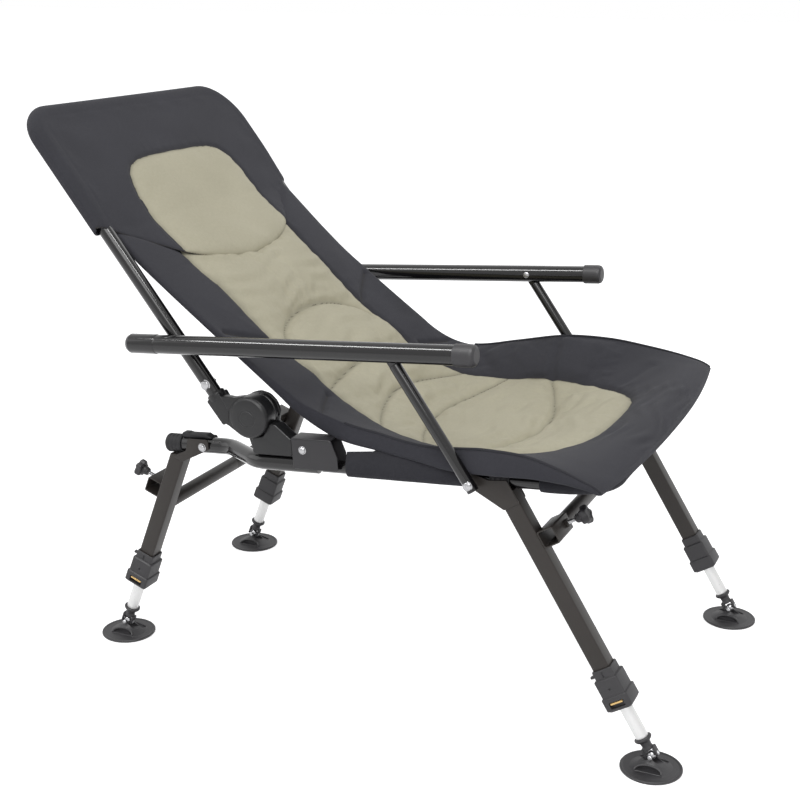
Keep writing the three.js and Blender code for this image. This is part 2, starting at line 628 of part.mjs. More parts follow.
// Leg frames: two hollow square legs with cheeks, a crossbar and two accessory sockets.
function legFrameSolid(frame, data, railRadius, pivotX, cheekOutline) {
  const half = leg.size / 2;
  const faceOut = data.y + half;
  const faceIn = data.y - half;
  const side = Math.sign(data.socketSide);
  const legSolid = block([-half, half], [-faceOut, -faceIn], [data.foot, data.top]);
  const headCut = chassisFrame.place(block([pivotX - data.top, pivotX + data.top],
    [-faceOut - overrun, -faceIn + overrun], [-railRadius - clearance.slide, data.top]));
  const socketNear = Math.min(side * half, side * (half + socket.size));
  const socketX = [socketNear, socketNear + socket.size];
  const socketY = [-data.y - data.overhang, -data.y - data.overhang + socket.length];
  const socketZ = [data.socketAt - socket.size / 2, data.socketAt + socket.size / 2];
  const bar = crossRod(0, data.barAt, -faceIn - leg.wall / 2, 0, crossbar.radius, segments.mid);
  let local = join(
    legSolid,
    block(socketX, socketY, socketZ),
    bar,
  );
  local = cut(
    local,
    block([-half + leg.wall, half - leg.wall], [-faceOut + leg.wall, -faceIn - leg.wall],
      [data.foot - overrun, data.top + overrun]),
    block([socketX[0] + socket.wall, socketX[1] - socket.wall],
      [socketY[0] - overrun, socketY[1] + overrun],
      [socketZ[0] + socket.wall, socketZ[1] - socket.wall]),
    rod([side * (half + socket.size / 2), -data.knobY, data.socketAt],
      [side * (half + socket.size + overrun), -data.knobY, data.socketAt],
      knob.screw + clearance.pin, segments.small),
  );
  let world = cut(frame.place(local), headCut);
  for (const y of [-faceOut - cheek.sheet, -faceIn]) {
    world = join(world, plate(cheekOutline, y, y + cheek.sheet));
  }
  const pin = join(
    crossRod(pivotX, 0, -faceOut - cheek.sheet, -faceIn + cheek.sheet, bolt.shank, segments.small),
    crossRod(pivotX, 0, -faceOut - cheek.sheet - data.pinHead, -faceOut - cheek.sheet / 2, bolt.head,
      segments.small),
  );
  world = join(world, chassisFrame.place(pin));
  return join(world, world.mirror([0, 1, 0]));
}

function nosePoints(pivotX, radius, from, to) {
  return circlePoints(pivotX, 0, radius, 6, from, to).map((p) => chassisFrame.point(p[0], p[1]));
}

const halfLeg = leg.size / 2;
const frontCheek = [
  ...nosePoints(frontPivotX, cheek.nose, 100, 235),
  frontLegFrame.point(-halfLeg, frontLeg.top - frontLeg.cheekDrop),
  frontLegFrame.point(halfLeg, frontLeg.top - frontLeg.cheekDrop),
  frontLegFrame.point(halfLeg, frontLeg.top),
  chassisFrame.point(saddleX, seatRail.radius / 3),
];
const rearCheek = [
  chassisFrame.point(rearPivotX + cheek.nose, rearRail.radius),
  chassisFrame.point(rearPivotX - leg.size, rearRail.radius),
  chassisFrame.point(rearPivotX - leg.size - cheek.nose / 2, -railCap.radius / 2),
  rearLegFrame.point(-halfLeg / 2, rearLeg.top - rearLeg.cheekDrop),
  rearLegFrame.point(halfLeg, rearLeg.top - rearLeg.cheekDrop),
  chassisFrame.point(rearPivotX + cheek.nose, -cheek.nose / 3),
];
add('front_fold', 'front_leg_frame',
  legFrameSolid(frontLegFrame, frontLeg, seatRail.radius, frontPivotX, frontCheek), paint.satin);
add('rear_fold', 'rear_leg_frame',
  legFrameSolid(rearLegFrame, rearLeg, railCap.radius, rearPivotX, rearCheek), paint.satin);

// Screw knobs of the accessory sockets.
const lobes = 5;
const lobeShare = 0.14;
const knobRim = Array.from({ length: segments.fine + 1 }, (_, i) => {
  const angle = (i / (segments.fine + 1)) * 2 * Math.PI;
  const radius = knob.radius * (1 - lobeShare * (1 - Math.cos(lobes * angle)));
  return [radius * Math.cos(angle), radius * Math.sin(angle)];
});
const knobHead = plate(knobRim, 0, knob.depth).rotate([90, 0, 0]);
const knobSolid = join(
  knobHead.translate([0, 0, knob.bare + knob.hubDepth]),
  rod([0, 0, knob.bare], [0, 0, knob.bare + knob.hubDepth + knob.depth / 2], knob.hubRadius,
    segments.small),
  rod([0, 0, -socket.wall - knob.screwReach], [0, 0, knob.bare + knob.hubDepth], knob.screw,
    segments.tiny),
);
const socketFace = halfLeg + socket.size;
for (const [name, frame, data] of [
  ['front', frontLegFrame, frontLeg],
  ['rear', rearLegFrame, rearLeg],
]) {
  const side = Math.sign(data.socketSide);
  const world = frame.place(knobSolid.rotate([0, side * 90, 0])
    .translate([side * socketFace, -data.knobY, data.socketAt]));
  for (const hand of sides) {
    const spot = frame.point(side * socketFace, data.socketAt);
    const key = `${name}_knob_${hand.name}`;
    group(key, spot, -hand.sign * data.knobY);
    add(key, key, hand.sign > 0 ? world : world.mirror([0, 1, 0]), paint.plastic);
  }
}

// Telescopic legs: lock collar, lock plate, inner leg, plug, knuckle and foot.
function collarSolid() {
  const top = collar.foot + collar.length;
  const middle = collar.foot + collar.band;
  const body = join(
    block([-collar.lower, collar.lower], [-collar.lower, collar.lower], [collar.foot, middle]),
    block([-collar.upper, collar.upper], [-collar.upper, collar.upper], [middle - overrun, top]),
    block([-collar.neckHalf, collar.neckHalf], [-collar.neckHalf, collar.neckHalf],
      [top - overrun, top + collar.neck]),
  );
  return cut(
    body,
    block([-halfLeg - clearance.fit, halfLeg + clearance.fit],
      [-halfLeg - clearance.fit, halfLeg + clearance.fit],
      [frontLeg.foot - clearance.pivot, top + collar.neck + overrun]),
    rod([0, 0, collar.foot - overrun], [0, 0, top], collar.bore, segments.mid),
    block([-collar.slot / 2, collar.slot / 2], [-collar.lower - overrun, -collar.lower + collar.slotDepth],
      [collar.foot + collar.slotAt, collar.foot + collar.slotAt + collar.slotHeight]),
  );
}

const slotBase = collar.foot + collar.slotAt;
const plateSolid = block([-lockPlate.width / 2, lockPlate.width / 2],
  [-collar.lower + clearance.fit, -collar.lower + collar.slotDepth - clearance.fit],
  [slotBase + lockPlate.lift, slotBase + lockPlate.lift + lockPlate.thick]);

const tubeFoot = plug.rim + clearance.fit;
const innerSolid = cut(
  rod([0, 0, tubeFoot], [0, 0, tubeFoot + inner.length], inner.radius, segments.mid),
  rod([0, 0, tubeFoot - overrun], [0, 0, tubeFoot + inner.length + overrun],
    inner.radius - inner.wall, segments.mid),
);
const spigot = inner.radius - inner.wall - clearance.fit;
const prongInner = foot.knuckle / 2 - foot.prong;
const plugSolid = cut(
  join(
    turned([
      [0, plug.rim - plug.length],
      [plug.waist, plug.rim - plug.length],
      [plug.waist, plug.rim - plug.shoulder],
      [plug.flange, plug.rim - overrun],
      [plug.flange, plug.rim],
      [spigot, plug.rim],
      [spigot, plug.rim + plug.spigot],
      [0, plug.rim + plug.spigot],
    ], segments.mid),
    block([-foot.knuckle / 2, foot.knuckle / 2], [-foot.prongHalf, foot.prongHalf],
      [-foot.prongDrop, plug.rim - plug.length + overrun]),
  ),
  block([-prongInner, prongInner], [-plug.waist - overrun, plug.waist + overrun],
    [-foot.prongHalf - overrun, foot.prongHalf + clearance.pivot]),
  rod([-foot.knuckle, 0, 0], [foot.knuckle, 0, 0], foot.pin + clearance.pin, segments.small),
);
const knuckleHalf = prongInner - clearance.slide;
const earReach = foot.earGap / 2 + foot.ear;
const knucklePinX = rod([-foot.knuckle / 2, 0, 0], [foot.knuckle / 2, 0, 0], foot.pin, segments.small);
const domeShares = { shoulder: 0.55, crown: 0.3, slope: 0.45 };
const footSolid = cut(
  join(
    turned([
      [0, 0],
      [foot.radius, 0],
      [foot.radius, foot.rim * (1 - domeShares.crown)],
      [foot.radius - foot.rim / 2, foot.rim],
      [foot.domeRadius, foot.rim + foot.dome * domeShares.slope],
      [foot.domeRadius * domeShares.shoulder, leg.ankle - foot.knuckle / 2 - foot.crownGap],
      [0, leg.ankle - foot.knuckle / 2 - foot.crownGap],
    ], segments.fine),
    ...[-1, 1].map((sign) => join(
      block([-foot.earHalf, foot.earHalf],
        [Math.min(sign * foot.earGap / 2, sign * earReach), Math.max(sign * foot.earGap / 2, sign * earReach)],
        [foot.rim, leg.ankle]),
      crossRod(0, leg.ankle, Math.min(sign * foot.earGap / 2, sign * earReach),
        Math.max(sign * foot.earGap / 2, sign * earReach), foot.earHalf, segments.small),
    )),
  ),
  crossRod(0, leg.ankle, -foot.radius, foot.radius, foot.pin + clearance.pin, segments.small),
);

for (const [name, frame, data, end] of [
  ['front', frontLegFrame, frontLeg, 1],
  ['rear', rearLegFrame, rearLeg, -1],
]) {
  const yMove = [0, -data.y, 0];
  const ankle = frame.point(0, 0);
  for (const side of sides) {
    const tag = `${name}_${side.name}`;
    const put = (solid) => {
      const world = frame.place(solid.translate(yMove));
      return side.sign > 0 ? world : world.mirror([0, 1, 0]);
    };
    const y = -side.sign * data.y;
    group(`slide_${tag}`, ankle, y);
    group(`knuckle_${tag}`, ankle, y);
    group(`foot_${tag}`, ankle, y);
    group(`lock_${tag}`, frame.point(0, slotBase + lockPlate.lift), y - side.sign * collar.lower);
    const home = `${name}_fold`;
    add(home, `lock_collar_${tag}`, put(collarSolid()), paint.plastic);
    add(`lock_${tag}`, `lock_plate_${tag}`, put(plateSolid), paint.brass);
    add(`slide_${tag}`, `inner_leg_${tag}`, put(innerSolid), paint.alloy);
    add(`slide_${tag}`, `leg_plug_${tag}`, put(plugSolid), paint.plastic);
    const knuckleBlock = block([-knuckleHalf, knuckleHalf], [-foot.prongHalf, foot.prongHalf],
      [-foot.prongHalf, foot.prongHalf]);
    const pinY = rod([0, -earReach, 0], [0, earReach, 0], foot.pin, segments.small);
    const cross = join(knuckleBlock, knucklePinX, pinY);
    add(`knuckle_${tag}`, `foot_knuckle_${tag}`, put(cross), paint.zinc);
    const footWorld = footSolid.translate([ankle[0], y, 0]);
    add(`foot_${tag}`, `foot_pad_${tag}`, footWorld, paint.plastic);
  }
}

// A closed soft solid from an upper and a lower surface over the same grid.
function softSolid(rows, columns, upper, lower) {
  const points = [];
  for (const surface of [upper, lower]) {
    for (let i = 0; i <= rows; i += 1) {
      for (let j = 0; j <= columns; j += 1) {
        points.push(...surface(i / rows, (2 * j) / columns - 1));
      }
    }
  }
  const layer = (rows + 1) * (columns + 1);
  const at = (i, j, below) => i * (columns + 1) + j + (below ? layer : 0);
  const faces = [];
  const quad = (a, b, c, d) => faces.push(a, b, c, a, c, d);
  for (let i = 0; i < rows; i += 1) {
    for (let j = 0; j < columns; j += 1) {
      quad(at(i, j), at(i + 1, j), at(i + 1, j + 1), at(i, j + 1));
      quad(at(i, j, 1), at(i, j + 1, 1), at(i + 1, j + 1, 1), at(i + 1, j, 1));
    }
    quad(at(i, 0), at(i, 0, 1), at(i + 1, 0, 1), at(i + 1, 0));
    quad(at(i, columns), at(i + 1, columns), at(i + 1, columns, 1), at(i, columns, 1));
  }
  for (let j = 0; j < columns; j += 1) {
    quad(at(0, j), at(0, j + 1), at(0, j + 1, 1), at(0, j, 1));
    quad(at(rows, j), at(rows, j, 1), at(rows, j + 1, 1), at(rows, j + 1));
  }
  const geometry = new THREE.BufferGeometry();
  geometry.setAttribute('position', new THREE.BufferAttribute(new Float32Array(points), 3));
  geometry.setIndex(faces);
  return toSolid(geometry);
}

// Blends from nought to one with a soft start and end.
const ease = (value) => {
  const x = Math.min(Math.max(value, 0), 1);
  return x * x * (3 - 2 * x);
};

const groove = (distance) => pad.channel * Math.exp(-((distance / pad.channelWidth) ** 2));
const sideways = (point, y) => [point[0], y, point[1]];

// The hanging line of the pad between the head of the back tube and the waist, in the back frame.
const waistLocal = backFrame.local(waist.x, waist.z);
const hangTop = [-back.offset, hood.sideFoot];
function hangLine(v) {
  const share = (v - waistLocal[1]) / (hangTop[1] - waistLocal[1]);
  if (share >= 1) return hangTop[0];
  return waistLocal[0] + (hangTop[0] - waistLocal[0]) * share - pad.sag * 4 * share * (1 - share);
}

// Where the hood's lower seam crosses the pad: a shallow curve that is lowest in the middle.
const hoodFoot = (y) => hood.lobe + (hood.sideFoot - hood.lobe) * (y / hood.half) ** 2;

// Back pad: thin edges, a hollow middle and channels round the patch and the lumbar arch.
const backRowFrom = waistLocal[1] + clearance.pivot * 4;
function backPadPoint(share, t, sign) {
  const shape = backShapeShares;
  const y = t * (pad.half - pad.tuck * (1 - ease(share * shape.tuck)));
  const v = backRowFrom + (hoodFoot(y) - clearance.slide - backRowFrom) * share;
  const fill = 1 - t ** shape.round;
  const belly = Math.sin(Math.PI * Math.min(share * shape.hollow, 1)) ** 2;
  const hollow = pad.hollow * (1 - t * t) * belly;
  const waistHollow = pad.hollow * shape.waistHollow * (1 - t * t) * (1 - ease(share * shape.waist));
  const archAngle = Math.min(Math.abs(y) / pad.archHalf, 1);
  const arch = pad.archTop - pad.archDrop * archAngle ** shape.bow - v;
  const channels = groove(Math.abs(y) - pad.patch) + groove(arch) * (1 - archAngle ** shape.arch);
  const half = pad.edge + (pad.middle - pad.edge) * fill;
  const n = hangLine(v) - hollow - waistHollow + sign * half - (sign > 0 ? channels : 0);
  return sideways(backFrame.point(n, v), y);
}
add('recline', 'back_pad', softSolid(padGrid.rows, padGrid.columns,
  (share, t) => backPadPoint(share, -t, 1), (share, t) => backPadPoint(share, -t, -1)), paint.patch);

// Head hood: a padded sleeve over the top of the back tube with a lobe that carries the head patch.
const hoodTop = back.top + back.tube + hood.cover;
const cornerV = hoodTop - hood.corner;
const cornerY = hood.half - hood.corner;
function hoodPoint(share, t, sign) {
  const y = t * hood.half;
  const over = Math.max(Math.abs(y) - cornerY, 0);
  const vTop = cornerV + Math.sqrt(Math.max(hood.corner ** 2 - over ** 2, 0));
  const v = hoodFoot(y) + (vTop - hoodFoot(y)) * Math.sin(share * 0.5 * Math.PI);
  const inCorner = v > cornerV && over > 0;
  const rim = inCorner
    ? hood.corner - Math.hypot(over, v - cornerV)
    : Math.min(hood.half - Math.abs(y), hoodTop - v);
  const round = Math.sqrt(1 - (1 - Math.min(Math.max(rim, 0) / hood.roll, 1)) ** 2);
  const half = hood.seam + (back.tube + hood.cover - hood.seam) * round;
  const n = hangLine(v) + sign * half;
  return sideways(backFrame.point(n, v), y);
}
const hoodSolid = cut(
  softSolid(padGrid.rows / 2, padGrid.columns, (share, t) => hoodPoint(share, -t, 1),
    (share, t) => hoodPoint(share, -t, -1)),
  backFrame.place(sweptTube(backPoints, back.tube + clearance.fit, 0, segments.mid)),
);
add('recline', 'head_hood', hoodSolid, paint.border);

// Seat pad: a hollow seat between raised sides, rolled over the front cross tube.
const seatRow = (row) => ({
  x: seat.rear + (seat.front - seat.rear) * row.along,
  near: seat.low + seat.rise * row.near,
  far: seat.low + seat.rise * row.far,
  middle: seat.low + seat.rise * row.middle,
  half: armrest.y * row.half + seat.corner * row.corner,
  thick: seat.thick * row.thick,
  wall: seat.thick * row.wall,
});
const seatRows = seatShares.map(seatRow);
function seatPadPoint(share, t, sign) {
  const shape = seatShapeShares;
  const last = seatRows.length - 1;
  const place = share * last;
  const i = Math.min(Math.floor(place), last - 1);
  const mix = (key) => seatRows[i][key] + (seatRows[i + 1][key] - seatRows[i][key]) * (place - i);
  const rise = Math.abs(t) ** shape.rise;
  const side = t < 0 ? 'near' : 'far';
  const top = (row) => [row.x, row.middle + (row[side] - row.middle) * rise];
  const before = top(seatRows[Math.max(Math.round(place) - 1, 0)]);
  const after = top(seatRows[Math.min(Math.round(place) + 1, last)]);
  const slope = Math.atan2(after[1] - before[1], after[0] - before[0]);
  const depth = mix('wall') + (mix('thick') - mix('wall')) * (1 - Math.abs(t) ** shape.round);
  const [x, z] = [mix('x'), mix('middle') + (mix(side) - mix('middle')) * rise];
  const y = t * mix('half');
  const patchEdge = groove(Math.abs(t) * (armrest.y + seat.corner) - seat.patch);
  const arc = groove(Math.hypot(x - seat.deepX, y * shape.squash) - seat.arc);
  const inside = share > shape.from && share < shape.to;
  const drop = inside ? patchEdge + arc * (x > seat.deepX ? 1 : 0) : 0;
  const reach = sign > 0 ? -drop : -depth;
  return [x - reach * Math.sin(slope), y, z + reach * Math.cos(slope)];
}
add('seat', 'seat_pad', softSolid(padGrid.rows, padGrid.columns,
  (share, t) => seatPadPoint(share, t, 1), (share, t) => seatPadPoint(share, t, -1)), paint.patch);

// Sling: a sheet under the pad with sleeves that wrap the seat rail.
const slingTo = seatRail.frontX - seatRail.radius - clearance.fit;
const slingGap = [frontPivotX - sling.gapBehind, frontPivotX + sling.gapAhead];
const slingY = seatRail.y - seatRail.radius;
const frontHalf = seatRail.y - seatRail.bend - clearance.slide;
function slingPoint(share, t, sign) {
  const x = sling.rear + (slingTo - sling.rear) * share;
  const narrow = ease((x - slingGap[1]) / (slingTo - slingGap[1]));
  const half = slingY + (frontHalf - slingY) * narrow;
  const along = (2 * x - slingTo - sling.rear) / (slingTo - sling.rear);
  const dip = seat.dip * (1 - sling.dipShare * along * along) * (1 - t * t);
  const z = seatRail.radius * sling.liftShare - dip + (sign * seat.sheet) / 2;
  return [x, t * half, z];
}
const sleeveOuter = seatRail.radius + clearance.fit + seat.sleeve;
const slingParts = [
  softSolid(padGrid.rows / 2, padGrid.columns / 2, (share, t) => slingPoint(share, t, 1),
    (share, t) => slingPoint(share, t, -1)),
  rod([seatRail.frontX, -frontHalf, 0], [seatRail.frontX, frontHalf, 0], sleeveOuter, segments.mid),
];
for (const side of sides) {
  const y = side.sign * seatRail.y;
  for (const [from, to] of [[sling.rear, slingGap[0]], [slingGap[1], seatRail.frontX - seatRail.bend]]) {
    slingParts.push(rod([from, y, 0], [to, y, 0], sleeveOuter, segments.mid));
  }
}
let slingSolid = join(...slingParts);
for (const side of sides) {
  slingSolid = slingSolid.subtract(block([slingGap[0], slingGap[1]],
    side.sign > 0 ? [frontLeg.y - halfLeg - cheek.sheet * 2, frontLeg.y * 2]
      : [-frontLeg.y * 2, -frontLeg.y + halfLeg + cheek.sheet * 2], [-hub.radius, hub.radius]));
}
slingSolid = slingSolid.subtract(sweptTube(seatRailPoints, seatRail.radius + clearance.fit, 0,
  segments.mid));
add('seat', 'sling', chassisFrame.place(slingSolid), paint.border);

// The origin is the middle of the box on the floor.
chair.updateMatrixWorld(true);
const extent = new THREE.Box3().setFromObject(chair);
chair.position.x = -(extent.min.x + extent.max.x) / 2;
chair.updateMatrixWorld(true);

export default chair;
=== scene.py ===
import math

import bmesh
import bpy
import numpy as np
from mathutils import Matrix, Vector


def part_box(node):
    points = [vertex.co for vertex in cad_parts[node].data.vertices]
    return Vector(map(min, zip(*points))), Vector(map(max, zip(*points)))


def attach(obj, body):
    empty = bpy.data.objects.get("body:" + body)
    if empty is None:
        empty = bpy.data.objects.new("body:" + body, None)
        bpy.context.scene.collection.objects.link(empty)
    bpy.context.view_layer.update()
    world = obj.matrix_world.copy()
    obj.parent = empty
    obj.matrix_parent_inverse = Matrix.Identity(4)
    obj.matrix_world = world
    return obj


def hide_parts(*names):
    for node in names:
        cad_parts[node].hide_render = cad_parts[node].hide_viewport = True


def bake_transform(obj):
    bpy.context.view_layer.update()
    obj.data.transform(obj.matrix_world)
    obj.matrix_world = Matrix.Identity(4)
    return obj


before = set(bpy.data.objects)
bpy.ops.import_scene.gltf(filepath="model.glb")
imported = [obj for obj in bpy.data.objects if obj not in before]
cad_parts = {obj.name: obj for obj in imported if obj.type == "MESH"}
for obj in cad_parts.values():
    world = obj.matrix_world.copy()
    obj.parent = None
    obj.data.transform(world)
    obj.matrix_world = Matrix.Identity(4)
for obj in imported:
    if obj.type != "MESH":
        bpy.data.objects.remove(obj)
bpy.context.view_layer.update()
millimetre = 0.001
print("frame loaded:", len(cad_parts), "nodes")

# The CAD row is centred on its box, so the middle of the feet is found from two foot pads.
footMiddles = [np.mean(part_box(f"foot_pad_{end}_right"), axis=0)[0] / millimetre for end in ("front", "rear")]
rootShift = sum(footMiddles) / 2

# Shared places of the chair's skeleton in millimetres, X forward from the middle of the feet.
chassis = {"height": 372.4, "pitch": 4.27}
rearRail = {"radius": 12.5, "innerY": 209.0, "rearX": -332.0, "bendFromX": -240.0, "bendToX": -166.0,
            "frontX": -62.0}
seatRail = {"radius": 9.5, "y": 260.5, "rearX": -56.0, "frontX": 368.0, "bend": 52.0}
hub = {"x": -164.2, "lift": 70.0, "radius": 31.0, "outerY": 284.0, "cover": 7.0, "armInnerY": 251.0}
back = {"tilt": 38.3, "offset": 33.5, "tube": 10.75, "y": 264.0, "foot": 12.0, "top": 548.0, "bend": 72.0,
        "armPivot": 153.5, "boltAt": 77.0}
armrest = {"y": 291.0, "radius": 14.0, "pitch": 4.6, "rearGrip": 72.0, "rearGripTo": -20.0, "front": 450.0,
           "strutAt": 350.4, "frontGrip": 31.0}
frontLeg = {"reach": 449.0, "y": 260.5, "tilt": 32.1, "foot": 103.0, "top": 432.0, "barAt": 327.0,
            "socketAt": 337.0, "overhang": 12.0, "cheekDrop": 36.0, "socketSide": 1, "knobY": 228.5}
rearLeg = {"reach": 449.0, "y": 209.0, "tilt": 20.8, "foot": 103.0, "top": 350.0, "barAt": 234.0,
           "socketAt": 254.5, "overhang": 8.0, "cheekDrop": 24.0, "socketSide": -1, "knobY": 186.0}
frontPivotX, rearPivotX, ankleZ = 183.0, -284.8, 22.0
legHalf = 12.7


# A frame tilted about Y: x = x0 + a cos(p) + b sin(p), z = z0 - a sin(p) + b cos(p).
class Tilted:
    def __init__(self, x, z, pitch):
        self.x, self.z, self.turn = x, z, math.radians(pitch)
        self.c, self.s = math.cos(self.turn), math.sin(self.turn)

    def point(self, a, b):
        return np.array([self.x + a * self.c + b * self.s, self.z - a * self.s + b * self.c])

    def place(self, points):
        p = np.asarray(points, float)
        x, z = self.point(p[..., 0], p[..., 2])
        return np.stack([x, p[..., 1], z], axis=-1)

    def local(self, x, z):
        return np.array([(x - self.x) * self.c - (z - self.z) * self.s,
                         (x - self.x) * self.s + (z - self.z) * self.c])


chassisFrame = Tilted(0.0, chassis["height"], -chassis["pitch"])
hubPoint = chassisFrame.point(hub["x"], hub["lift"])
frontPivot = chassisFrame.point(frontPivotX, 0.0)
backFrame = Tilted(*hubPoint, -back["tilt"])
armPivot = backFrame.point(-back["offset"], back["armPivot"])
armFrame = Tilted(*armPivot, -armrest["pitch"])
strutReach = armFrame.point(armrest["strutAt"], 0.0) - frontPivot
strutLength = float(np.hypot(*strutReach))
strutFrame = Tilted(*frontPivot, math.degrees(math.atan2(strutReach[0], strutReach[1])))
frontLegFrame = Tilted(frontLeg["reach"], ankleZ, -frontLeg["tilt"])
rearLegFrame = Tilted(-rearLeg["reach"], ankleZ, rearLeg["tilt"])


# Faces of a grid of quads: corner (i, j) joins (i+1, j), (i+1, j+1) and (i, j+1), wrapped where asked.
def gridFaces(rows, columns, wrapRows=False, wrapColumns=False):
    i = np.arange(rows if wrapRows else rows - 1)[:, None]
    j = np.arange(columns if wrapColumns else columns - 1)[None, :]
    i2, j2 = (i + 1) % rows, (j + 1) % columns
    quads = [i * columns + j, i2 * columns + j, i2 * columns + j2, i * columns + j2]
    return np.stack(quads, axis=-1).reshape(-1, 4)


# Welds points that lie together, keeping attributes, and turns the faces outwards where asked.
def weldMesh(mesh, distance=2e-5, outward=True):
    work = bmesh.new()
    work.from_mesh(mesh)
    bmesh.ops.remove_doubles(work, verts=work.verts, dist=distance)
    bmesh.ops.dissolve_degenerate(work, edges=work.edges, dist=distance)
    if outward:
        bmesh.ops.recalc_face_normals(work, faces=work.faces)
    work.to_mesh(mesh)
    work.free()
    mesh.update()


def smoothShade(mesh, sharpAngle):
    mesh.polygons.foreach_set("use_smooth", np.ones(len(mesh.polygons), bool))
    mesh.set_sharp_from_angle(angle=math.radians(sharpAngle))


def link(name, data):
    made = bpy.data.objects.new(name, data)
    bpy.context.scene.collection.objects.link(made)
    return made


# Makes a mesh object from points in millimetres about the middle of the feet; poles are welded shut.
def makePiece(name, points, faces, material, sharpAngle=40, weld=1e-5, outward=True):
    p = np.asarray(points, float).reshape(-1, 3) + [rootShift, 0, 0]
    mesh = bpy.data.meshes.new(name)
    mesh.from_pydata((p * millimetre).tolist(), [], [list(map(int, f)) for f in faces])
    if weld:
        weldMesh(mesh, weld, outward)
    mesh.validate()
    smoothShade(mesh, sharpAngle)
    piece = link(name, mesh)
    piece.data.materials.append(material)
    return piece


# Tells the frame which body a piece rides and which CAD nodes it stands for.
def settle(piece, body, nodes=()):
    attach(piece, body)
    if nodes:
        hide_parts(*nodes)


# Joins lists of (points, faces) into one shell list.
def gather(*shells):
    points, faces, count = [], [], 0
    for p, f in shells:
        points.append(np.asarray(p, float).reshape(-1, 3))
        faces.extend([[int(k) + count for k in face] for face in f])
        count += len(points[-1])
    return np.concatenate(points), faces


# A closed tube along listed points: ring = point + r (n cos a + b sin a), with n kept upright from ring to
# ring; each end is closed with a rounded lip.
def sweep(path, radius, sides=36, lip=1.0):
    path = np.asarray(path, float)
    step = np.diff(path, axis=0)
    step /= np.linalg.norm(step, axis=1)[:, None]
    tangent = np.concatenate([step[:1], step[:-1] + step[1:], step[-1:]])
    tangent /= np.linalg.norm(tangent, axis=1)[:, None]
    normal = np.zeros_like(path)
    seed = np.array([0.0, 0.0, 1.0]) if abs(tangent[0][2]) < 0.9 else np.array([1.0, 0.0, 0.0])
    for k in range(len(path)):
        seed = seed - tangent[k] * (seed @ tangent[k])
        seed /= np.linalg.norm(seed)
        normal[k] = seed
    binormal = np.cross(tangent, normal)
    radii = np.broadcast_to(np.asarray(radius, float), (len(path),))
    angle = np.arange(sides) / sides * 2 * np.pi
    last = len(path) - 1
    # Rows of (path index, shift along the path, ring radius).
    rounded = [(lip - lip * math.sin(a), lip - lip * math.cos(a)) for a in np.linspace(0, 0.5 * np.pi, 5)]
    table = [(0, 0.0, 0.0)] + [(0, shift, radii[0] - drawn) for shift, drawn in rounded[::-1]]
    table += [(k, 0.0, radii[k]) for k in range(1, last)]
    table += [(last, -shift, radii[-1] - drawn) for shift, drawn in rounded] + [(last, 0.0, 0.0)]
    index = np.array([row[0] for row in table])
    shift, size = np.array([row[1:] for row in table]).T
    centre = path[index] + tangent[index] * shift[:, None]
    ring = (normal[index][:, None, :] * np.cos(angle)[None, :, None]
            + binormal[index][:, None, :] * np.sin(angle)[None, :, None])
    points = centre[:, None, :] + ring * size[:, None, None]
    return points.reshape(-1, 3), gridFaces(len(table), sides, wrapColumns=True)


# Arc tangent to both legs of a corner: from unit directions to its neighbours, radius and half angle.
def cornerArc(here, toA, toC, radius, half, steps):
    centre = here + (toA + toC) / np.linalg.norm(toA + toC) * radius / math.sin(half)
    u = here + toA * radius / math.tan(half) - centre
    w = here + toC * radius / math.tan(half) - centre
    span = math.acos(float(np.clip(u @ w / radius**2, -1, 1)))
    s = np.linspace(0, 1, steps + 1)[:, None]
    return centre + (u * np.sin((1 - s) * span) + w * np.sin(s * span)) / math.sin(span)


# A profile with each inner corner rounded by a short arc; pairs of (radius, height).
def soften(profile, radius, steps=4, closed=False):
    p = np.asarray(profile, float)
    out = []
    count = len(p)
    for k in range(count):
        before, here, after = p[(k - 1) % count], p[k], p[(k + 1) % count]
        la, lc = np.linalg.norm(before - here), np.linalg.norm(after - here)
        if not closed and k in (0, count - 1):
            out.append(here[None])
        elif min(la, lc) >= 1e-6:
            toA, toC = (before - here) / la, (after - here) / lc
            half = math.acos(float(np.clip(toA @ toC, -1, 1))) / 2
            if half > math.radians(86):
                out.append(here[None])
            else:
                r = min(radius, 0.45 * min(la, lc) * math.tan(half))
                out.append(cornerArc(here, toA, toC, r, half, steps))
    return np.concatenate(out)


# A U path through four places with both bends rounded.
def bentPath(places, radius, steps):
    a, b, c, d = (np.asarray(p, float) for p in places)
    arcs = []
    for before, here, after in ((a, b, c), (b, c, d)):
        toA, toC = ((p - here) / np.linalg.norm(p - here) for p in (before, after))
        half = math.acos(float(np.clip(toA @ toC, -1, 1))) / 2
        arcs.append(cornerArc(here, toA, toC, radius, half, steps))
    return np.concatenate([a[None], *arcs, d[None]])


# A turned piece: x = r cos a, y = r sin a, z = h from a profile of (r, h), rounded at its corners.
def turned(profile, rounding=0.6, sides=48, lobes=0, lobeDepth=0.0, steps=4):
    p = soften(profile, rounding, steps)
    angle = np.arange(sides) / sides * 2 * np.pi
    wave = 1 - lobeDepth * (1 - np.cos(lobes * angle)) if lobes else np.ones(sides)
    r, h = p[:, 0][:, None], p[:, 1][:, None]
    points = np.stack([r * np.cos(angle) * wave, r * np.sin(angle) * wave, h + 0 * angle], axis=-1)
    return points.reshape(-1, 3), gridFaces(len(p), sides, wrapColumns=True)


